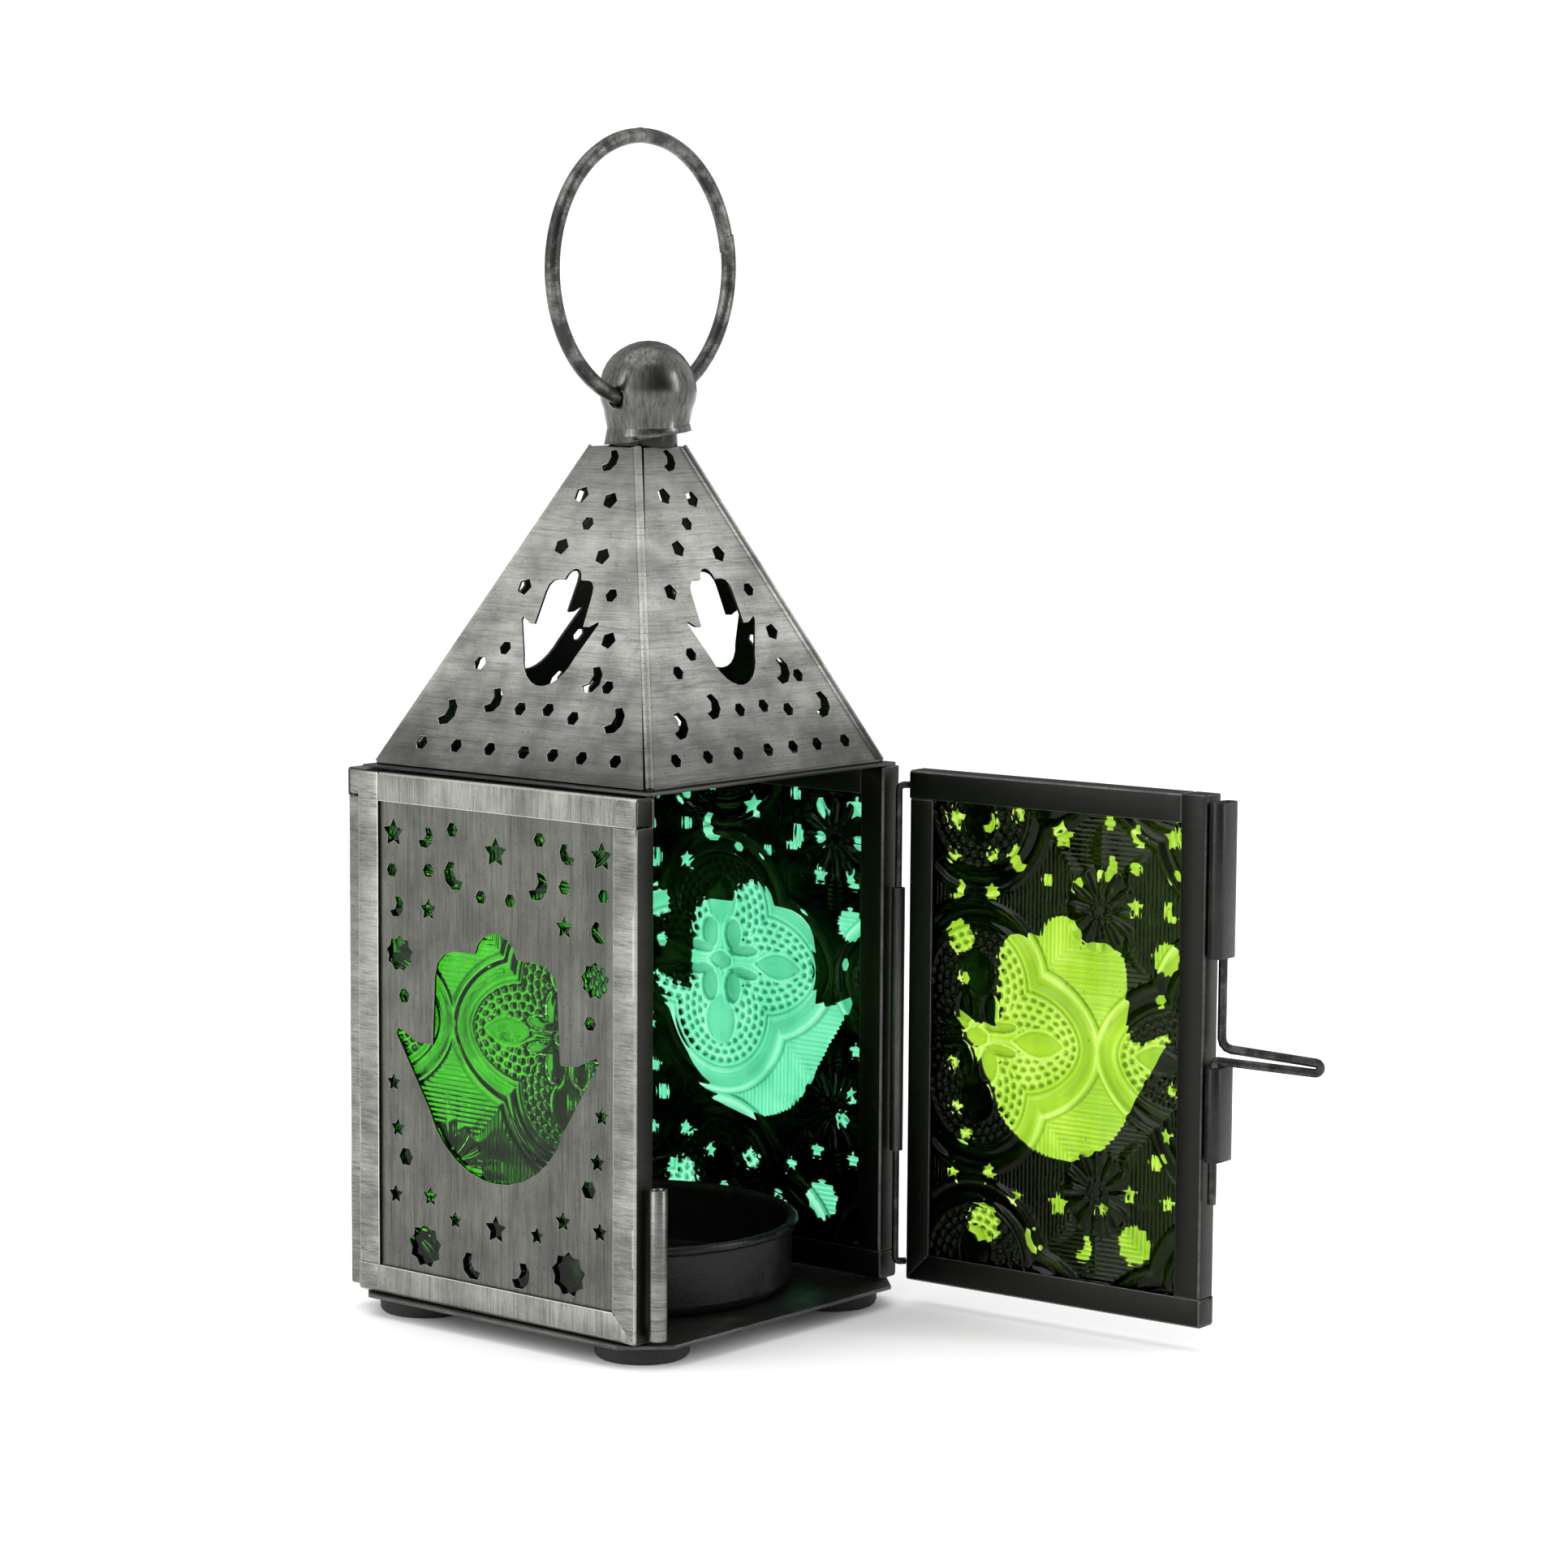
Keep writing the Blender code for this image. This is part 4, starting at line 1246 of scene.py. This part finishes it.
@dataclass
class Roof:
    """Four pierced faces with folded hips over the top plate, and a lip at the eaves."""

    faces: tuple[tuple[str, Point], ...] = (
        ("front_roof_panel", (0, -0.9, 0.44)),
        ("left_roof_panel", (-0.9, 0, 0.44)),
        ("rear_roof_panel", (0, 0.9, 0.44)),
        ("right_roof_panel", (0.9, 0, 0.44)),
    )
    corners: tuple[tuple[int, int], ...] = ((-1, -1), (1, -1), (1, 1), (-1, 1))
    hip_radius: float = 0.6 * MM
    hip_sink: float = 0.1 * MM
    lip_radius: float = 0.26 * MM
    fold_steps: int = 24
    # Heights where the roof's painted shade is deepest, at its foot and at its head.
    painted_shade_heights: tuple[float, float] = (72.5 * MM, 109.8 * MM)

    def build(self) -> None:
        """Builds the top plate, the faces, the hips and the lip."""
        plate = AntiqueTin("eaves_tin", Grain.LEVEL, (0.02, 0.02, 0.019), (0.09, 0.09, 0.085)).material()
        Refined("top_plate", "top_plate_trimmed", Body.LANTERN, Slot.FRAME, 0.1 * MM).build(plate)
        light, tone = (0.52, 0.52, 0.484), (0.19, 0.19, 0.177)
        tin = AntiqueTin("brushed_roof", Grain.LEVEL, tone, light, 0.38, painted_shade_heights=self.painted_shade_heights).material()
        points: list[Vector] = []
        for node, way in self.faces:
            outward = Vector(way).normalized()
            face = Refined(
                node, f"{node}_burred", Body.LANTERN, Slot.ROOF, 0.09 * MM, 1, 25, outward=outward
            ).build(tin)
            points += [vertex.co.copy() for vertex in face.data.vertices]
        light, tone = (0.7, 0.7, 0.65), (0.28, 0.28, 0.26)
        hip = AntiqueTin("hip_fold", Grain.LEVEL, tone, light, 0.3, painted_shade_heights=self.painted_shade_heights).material()
        lip = AntiqueTin("eaves_lip", Grain.LEVEL, (0.03, 0.03, 0.028), (0.14, 0.14, 0.13)).material()
        feet, heads = ([self.extreme(points, corner, pick) for corner in self.corners] for pick in (min, max))
        for number, (corner, foot, head) in enumerate(zip(self.corners, feet, heads)):
            sink = Vector((-corner[0], -corner[1], -0.6)) * self.hip_sink
            self.fold(f"roof_hip_{number}", foot + sink, head + sink, self.hip_radius, hip)
        for number, (start, end) in enumerate(zip(feet, feet[1:] + feet[:1])):
            self.fold(f"eaves_lip_{number}", start, end, self.lip_radius, lip)

    def fold(
        self, name: str, start: Vector, end: Vector, radius: float, material: bpy.types.Material
    ) -> None:
        """Makes one rounded fold of tin, straight from one point to another.

        Args:
            name: The piece's name.
            start: Its first end.
            end: Its other end.
            radius: Its radius.
            material: Its finish.
        """
        points = (start.lerp(end, i / self.fold_steps) for i in range(self.fold_steps + 1))
        obj = wire(name, points, radius)
        polish_all(obj)
        place_piece(obj, material, Body.LANTERN)

    @staticmethod
    def extreme(points: list[Vector], corner: tuple[int, int], pick: Callable[..., float]) -> Vector:
        """The outermost point of a hip at its foot or its head.

        Args:
            points: The faces' points.
            corner: The signs of the corner's x and y.
            pick: min for the foot, max for the head.

        Returns:
            The point.
        """
        height = pick(point.z for point in points)
        near = [point for point in points if abs(point.z - height) < 0.6 * MM]
        return max(near, key=lambda point: point.x * corner[0] + point.y * corner[1])


@dataclass
class Finial:
    """The hollow ball that the carry ring swings in, and the ring with its brazed joint."""

    wire_radius: float = 0.95 * MM
    ring_steps: int = 140
    out_of_round: float = 0.004
    joint_degrees: float = 8.0
    lap_degrees: float = 7.0
    braze_degrees: float = 92.0
    braze_lift: float = 0.12 * MM
    neck_top: float = 113.0 * MM
    neck_radius: float = 5.15 * MM
    collar_radius: float = 4.35 * MM
    collar_bottom: float = 109.62 * MM
    collar_top: float = 113.5 * MM
    collar_shift: Point = (-0.4 * MM, 0.4 * MM, 0.0)
    dents: float = 0.12 * MM

    def build(self) -> None:
        """Builds the ball and the ring."""
        light, tone = (0.17, 0.17, 0.158), (0.025, 0.025, 0.0235)
        tin = AntiqueTin("mottled_ball", Grain.UPRIGHT, tone, light, 0.24, 2500.0).material()
        ball = Refined("finial", "finial_ball", Body.LANTERN, Slot.ROOF, 0.08 * MM, 2, 50, self.dents)
        middle = plan_middle("finial")
        for vertex in ball.build(tin).data.vertices:
            out = (vertex.co - middle).xy
            if vertex.co.z < self.neck_top and out.length > self.neck_radius:
                squeezed = out.normalized() * (self.neck_radius + 0.25 * (out.length - self.neck_radius))
                vertex.co.x, vertex.co.y = middle.x + squeezed.x, middle.y + squeezed.y
        self.collar(middle, tin)
        self.ring()

    def collar(self, middle: Vector, material: bpy.types.Material) -> None:
        """Closes the ball's neck over the roof's top.

        Args:
            middle: The ball's middle, at z = 0.
            material: Its finish.
        """
        bpy.ops.object.select_all(action="DESELECT")
        bpy.ops.mesh.primitive_cone_add(
            vertices=48, radius1=self.collar_radius, radius2=self.collar_radius - 0.3 * MM,
            depth=self.collar_top - self.collar_bottom,
            location=middle + Vector(self.collar_shift) + UP * (self.collar_top + self.collar_bottom) / 2,
        )
        collar = bpy.context.object
        ease(collar, 0.2 * MM)
        settle(collar, "finial_collar")
        polish_all(collar, 0.12)
        place_piece(collar, material, Body.LANTERN)

    def ring(self) -> None:
        """Bends the carry ring from wire, lapped at its joint, with a bead of braze on its top."""
        places = np.array([vertex.co for vertex in bpy.data.objects["carry_ring"].data.vertices])
        spread = places - places.mean(axis=0)
        centre = Vector(places.mean(axis=0))
        axis = Vector(np.linalg.svd(spread, full_matrices=False)[2][2])
        axis = axis if axis.x > 0 else -axis
        axis = Vector((0, -1, 0)) if abs(axis.y) > 0.999 else axis
        up = (UP - axis * axis.z).normalized()
        right = axis.cross(up)
        right = right if right.x > 0 else -right
        radius = float((spread @ np.array(up)).max()) - self.wire_radius

        def around(turn: float, distance: float) -> Vector:
            """A point in the ring's plane.

            Args:
                turn: Its angle round the ring.
                distance: How far it is from the ring's middle.

            Returns:
                The point.
            """
            return centre + (right * math.cos(turn) + up * math.sin(turn)) * distance

        points = []
        for i in range(self.ring_steps + 1):
            share = i / self.ring_steps
            turn = math.radians(self.joint_degrees + (360 + self.lap_degrees) * share)
            swell = radius * (1 + self.out_of_round * (math.sin(2 * turn + 0.6) - 1))
            points.append(around(turn, swell) + axis * self.wire_radius * 0.10 * (2 * share - 1))
        iron = DarkWire("ring_iron", wear=0.75).material()
        ring = wire("carry_ring_bent", points, self.wire_radius, 5)
        place_piece(ring, iron, Body.RING, ["carry_ring"])
        top = around(math.radians(self.braze_degrees), radius + self.braze_lift)
        bpy.ops.object.select_all(action="DESELECT")
        bpy.ops.mesh.primitive_ico_sphere_add(subdivisions=3, radius=self.wire_radius, location=top)
        braze = bpy.context.object
        braze.scale = (1.5, 0.95, 0.8)
        settle(braze, "carry_ring_braze", 60)
        for vertex in braze.data.vertices:
            vertex.co += vertex.normal * noise.noise(vertex.co / (0.8 * MM)) * 0.12 * MM
        place_piece(braze, iron, Body.RING)


@dataclass
class DoorFittings:
    """The hinge, the two sleeves, the sliding bolt and the tube it drops into."""

    bolt_radius: float = 0.575 * MM
    grip_root: float = 1.2 * MM
    grip_squeeze: float = 0.62 * MM
    grip_slice: float = 1.2 * MM

    def build(self) -> None:
        """Builds and dresses each fitting."""
        iron = DarkWire("bolt_iron", (0.03, 0.03, 0.028), (0.16, 0.16, 0.15)).material()
        black = BlackedTin("blacked_fitting").material()
        keeper = AntiqueTin("keeper_tin", Grain.LEVEL, (0.08, 0.08, 0.075), (0.3, 0.3, 0.28), 0.32).material()
        barrel = AntiqueTin("hinge_tin", Grain.UPRIGHT, (0.03, 0.03, 0.028), (0.12, 0.12, 0.112)).material()
        fine, middling, coarse = 0.06 * MM, 0.08 * MM, 0.1 * MM
        Refined("hinge_pin", "hinge_pin_wire", Body.DOOR, Slot.WIRE, coarse).build(iron)
        self.close_grip(Refined("latch_bolt", "latch_bolt_wire", Body.LATCH, Slot.WIRE, coarse).build(iron))
        Refined("hinge_barrel", "hinge_barrel_rolled", Body.LANTERN, Slot.FRAME, fine).build(barrel)
        Refined("latch_keeper", "latch_keeper_rolled", Body.LANTERN, Slot.FRAME, fine).build(keeper)
        for node in ("lower_latch_sleeve", "upper_latch_sleeve"):
            Refined(node, f"{node}_pressed", Body.DOOR, Slot.DARK, middling).build(black)

    def close_grip(self, bolt: bpy.types.Object) -> None:
        """Pinches the two legs of the bolt's grip together towards its tip.

        Args:
            bolt: The bolt's wire.
        """
        slide = plan_middle("upper_latch_sleeve")

        def out(vertex: bpy.types.MeshVertex) -> float:
            """How far a point of the wire is from the line that the bolt slides on.

            Args:
                vertex: The point.

            Returns:
                The distance.
            """
            return (vertex.co - slide).xy.length

        grip = [v for v in bolt.data.vertices if out(v) > 2 * self.bolt_radius + self.grip_root]
        reach = max(map(out, grip))
        for vertex in grip:
            peers = [v.co.z for v in grip if abs(out(v) - out(vertex)) < self.grip_slice]
            middle, half = (max(peers) + min(peers)) / 2, (max(peers) - min(peers)) / 2
            share = (out(vertex) - self.grip_root) / (reach - self.grip_root)
            gap = max(0.02 * MM, half - 2 * self.bolt_radius)
            squeeze = min(self.grip_squeeze, 0.92 * gap) * min(1.0, 1.6 * max(0.0, share))
            vertex.co.z -= squeeze * max(-1.0, min(1.0, (vertex.co.z - middle) / gap))


# ---- Stage -----------------------------------------------------------------------------------------


@dataclass
class Studio:
    """A white room: floor, soft lights and the camera."""

    camera_place: Point = (-0.41197, -0.33456, 0.1296)
    azimuth: float = -50.42
    elevation: float = 6.53
    roll: float = 0.36
    lens: float = 99.87
    sensor: float = 36.0
    floor_size: float = 8.0
    light_target: Point = (0.0, 0.02, 0.08)
    soft_boxes: tuple[tuple[str, Point, tuple[float, float], float], ...] = (
        ("left_softbox", (-0.75, 0.25, 0.35), (0.35, 0.7), 2.5),
        ("right_softbox", (0.35, -0.75, 0.35), (0.12, 0.6), 2.0),
        ("top_softbox", (-0.1, 0.1, 0.9), (0.8, 0.8), 3.0),
    )
    room_level: float = 1.2

    def build(self) -> None:
        """Builds the stage."""
        self.floor()
        self.world()
        self.lights()
        self.camera()

    def floor(self) -> None:
        """Lays a wide white floor."""
        bpy.ops.mesh.primitive_plane_add(size=self.floor_size, location=(0, 0, 0))
        floor = bpy.context.object
        floor.name = "studio_floor"
        look = Shading("studio_white")
        look.set(Base_Color=(0.93, 0.93, 0.93), Roughness=0.7, Specular_IOR_Level=0.2)
        floor.data.materials.append(look.material)

    def world(self) -> None:
        """Makes the room white to look at, and shaped for what shines or lets light through."""
        world = bpy.data.worlds.new("studio")
        bpy.context.scene.world = world
        world.use_nodes = True
        nodes = Nodes(world.node_tree)
        where = nodes.add("ShaderNodeTexCoord").outputs["Generated"]
        path = nodes.add("ShaderNodeLightPath").outputs

        def patch(way: Point, low: float, high: float, dim: float, bright: float) -> Value:
            """A soft patch of light round a direction, in a dimmer surround.

            Args:
                way: The direction.
                low: The cosine from which the patch begins.
                high: The cosine from which it is full.
                dim: The light outside it.
                bright: The light within it.

            Returns:
                The light's strength.
            """
            inputs = {0: where, 1: Vector(way).normalized()}
            facing = nodes.add("ShaderNodeVectorMath", inputs, operation="DOT_PRODUCT").outputs["Value"]
            return nodes.spread(facing, low, high, dim, bright, "SMOOTHSTEP")

        def choose(share: Value, first: Value, second: Value) -> Value:
            """One value or another.

            Args:
                share: 0 for the first, 1 for the second.
                first: A socket or a number.
                second: A socket or a number.

            Returns:
                The value that was chosen.
            """
            return nodes.add("ShaderNodeMix", {0: share, 2: first, 3: second}).outputs[0]

        through = patch((0.766, 0.633, -0.08), 0.72, 0.985, 0.10, 1.3)
        left_wall = patch((-0.62, 0.60, 0.35), -0.2, 0.9, 0.10, 1.0)
        right_wall = patch((0.77, -0.44, 0.42), 0.45, 0.95, 0.0, 1.0)
        walls = nodes.maths("ADD", left_wall, right_wall)
        level = choose(path["Is Glossy Ray"], self.room_level, walls)
        level = choose(path["Is Transmission Ray"], level, through)
        level = choose(path["Is Camera Ray"], level, self.room_level)
        background = nodes.tree.nodes["Background"].inputs
        nodes.feed(background["Strength"], level)
        nodes.feed(background["Color"], (1, 1, 1))

    def lights(self) -> None:
        """Sets up a tall soft light on each side and one above."""
        for name, place, size, power in self.soft_boxes:
            data = bpy.data.lights.new(name, "AREA")
            data.shape = "RECTANGLE"
            data.size, data.size_y = size
            data.energy = power
            self.aim(name, data, place, Vector(self.light_target) - Vector(place))

    def camera(self) -> None:
        """Sets up the camera, a little above the lantern's middle and looking slightly down."""
        azimuth, elevation = math.radians(self.azimuth), math.radians(self.elevation)
        level = math.cos(elevation)
        ahead = Vector((-math.sin(azimuth) * level, math.cos(azimuth) * level, -math.sin(elevation)))
        data = bpy.data.cameras.new("camera")
        data.lens, data.sensor_width = self.lens, self.sensor
        data.clip_start, data.clip_end = 0.01, 50.0
        bpy.context.scene.camera = self.aim("camera", data, self.camera_place, ahead, self.roll)
        bpy.context.scene.view_settings.view_transform = "Standard"

    @staticmethod
    def aim(
        name: str, data: bpy.types.ID, place: Point, ahead: Vector, roll: float = 0.0
    ) -> bpy.types.Object:
        """Stands a light or the camera at its place and turns it.

        Args:
            name: Its name.
            data: The light or the camera.
            place: Where it stands.
            ahead: The way it looks.
            roll: How far it leans, in degrees.

        Returns:
            The new object.
        """
        obj = bpy.data.objects.new(name, data)
        bpy.context.scene.collection.objects.link(obj)
        obj.location = place
        obj.rotation_mode = "QUATERNION"
        lean = Matrix.Rotation(math.radians(roll), 3, "Z").to_quaternion()
        obj.rotation_quaternion = ahead.to_track_quat("-Z", "Y") @ lean
        return obj


def main() -> None:
    """Builds the stage and every sub-assembly."""
    logging.basicConfig(level=logging.INFO, format="%(name)s: %(message)s")
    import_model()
    Studio().build()
    Base().build()
    Panels(plan_middle("base_plate"), plan_middle("hinge_barrel")).build()
    DoorFittings().build()
    Roof().build()
    Finial().build()


if __name__ == "__main__":
    main()
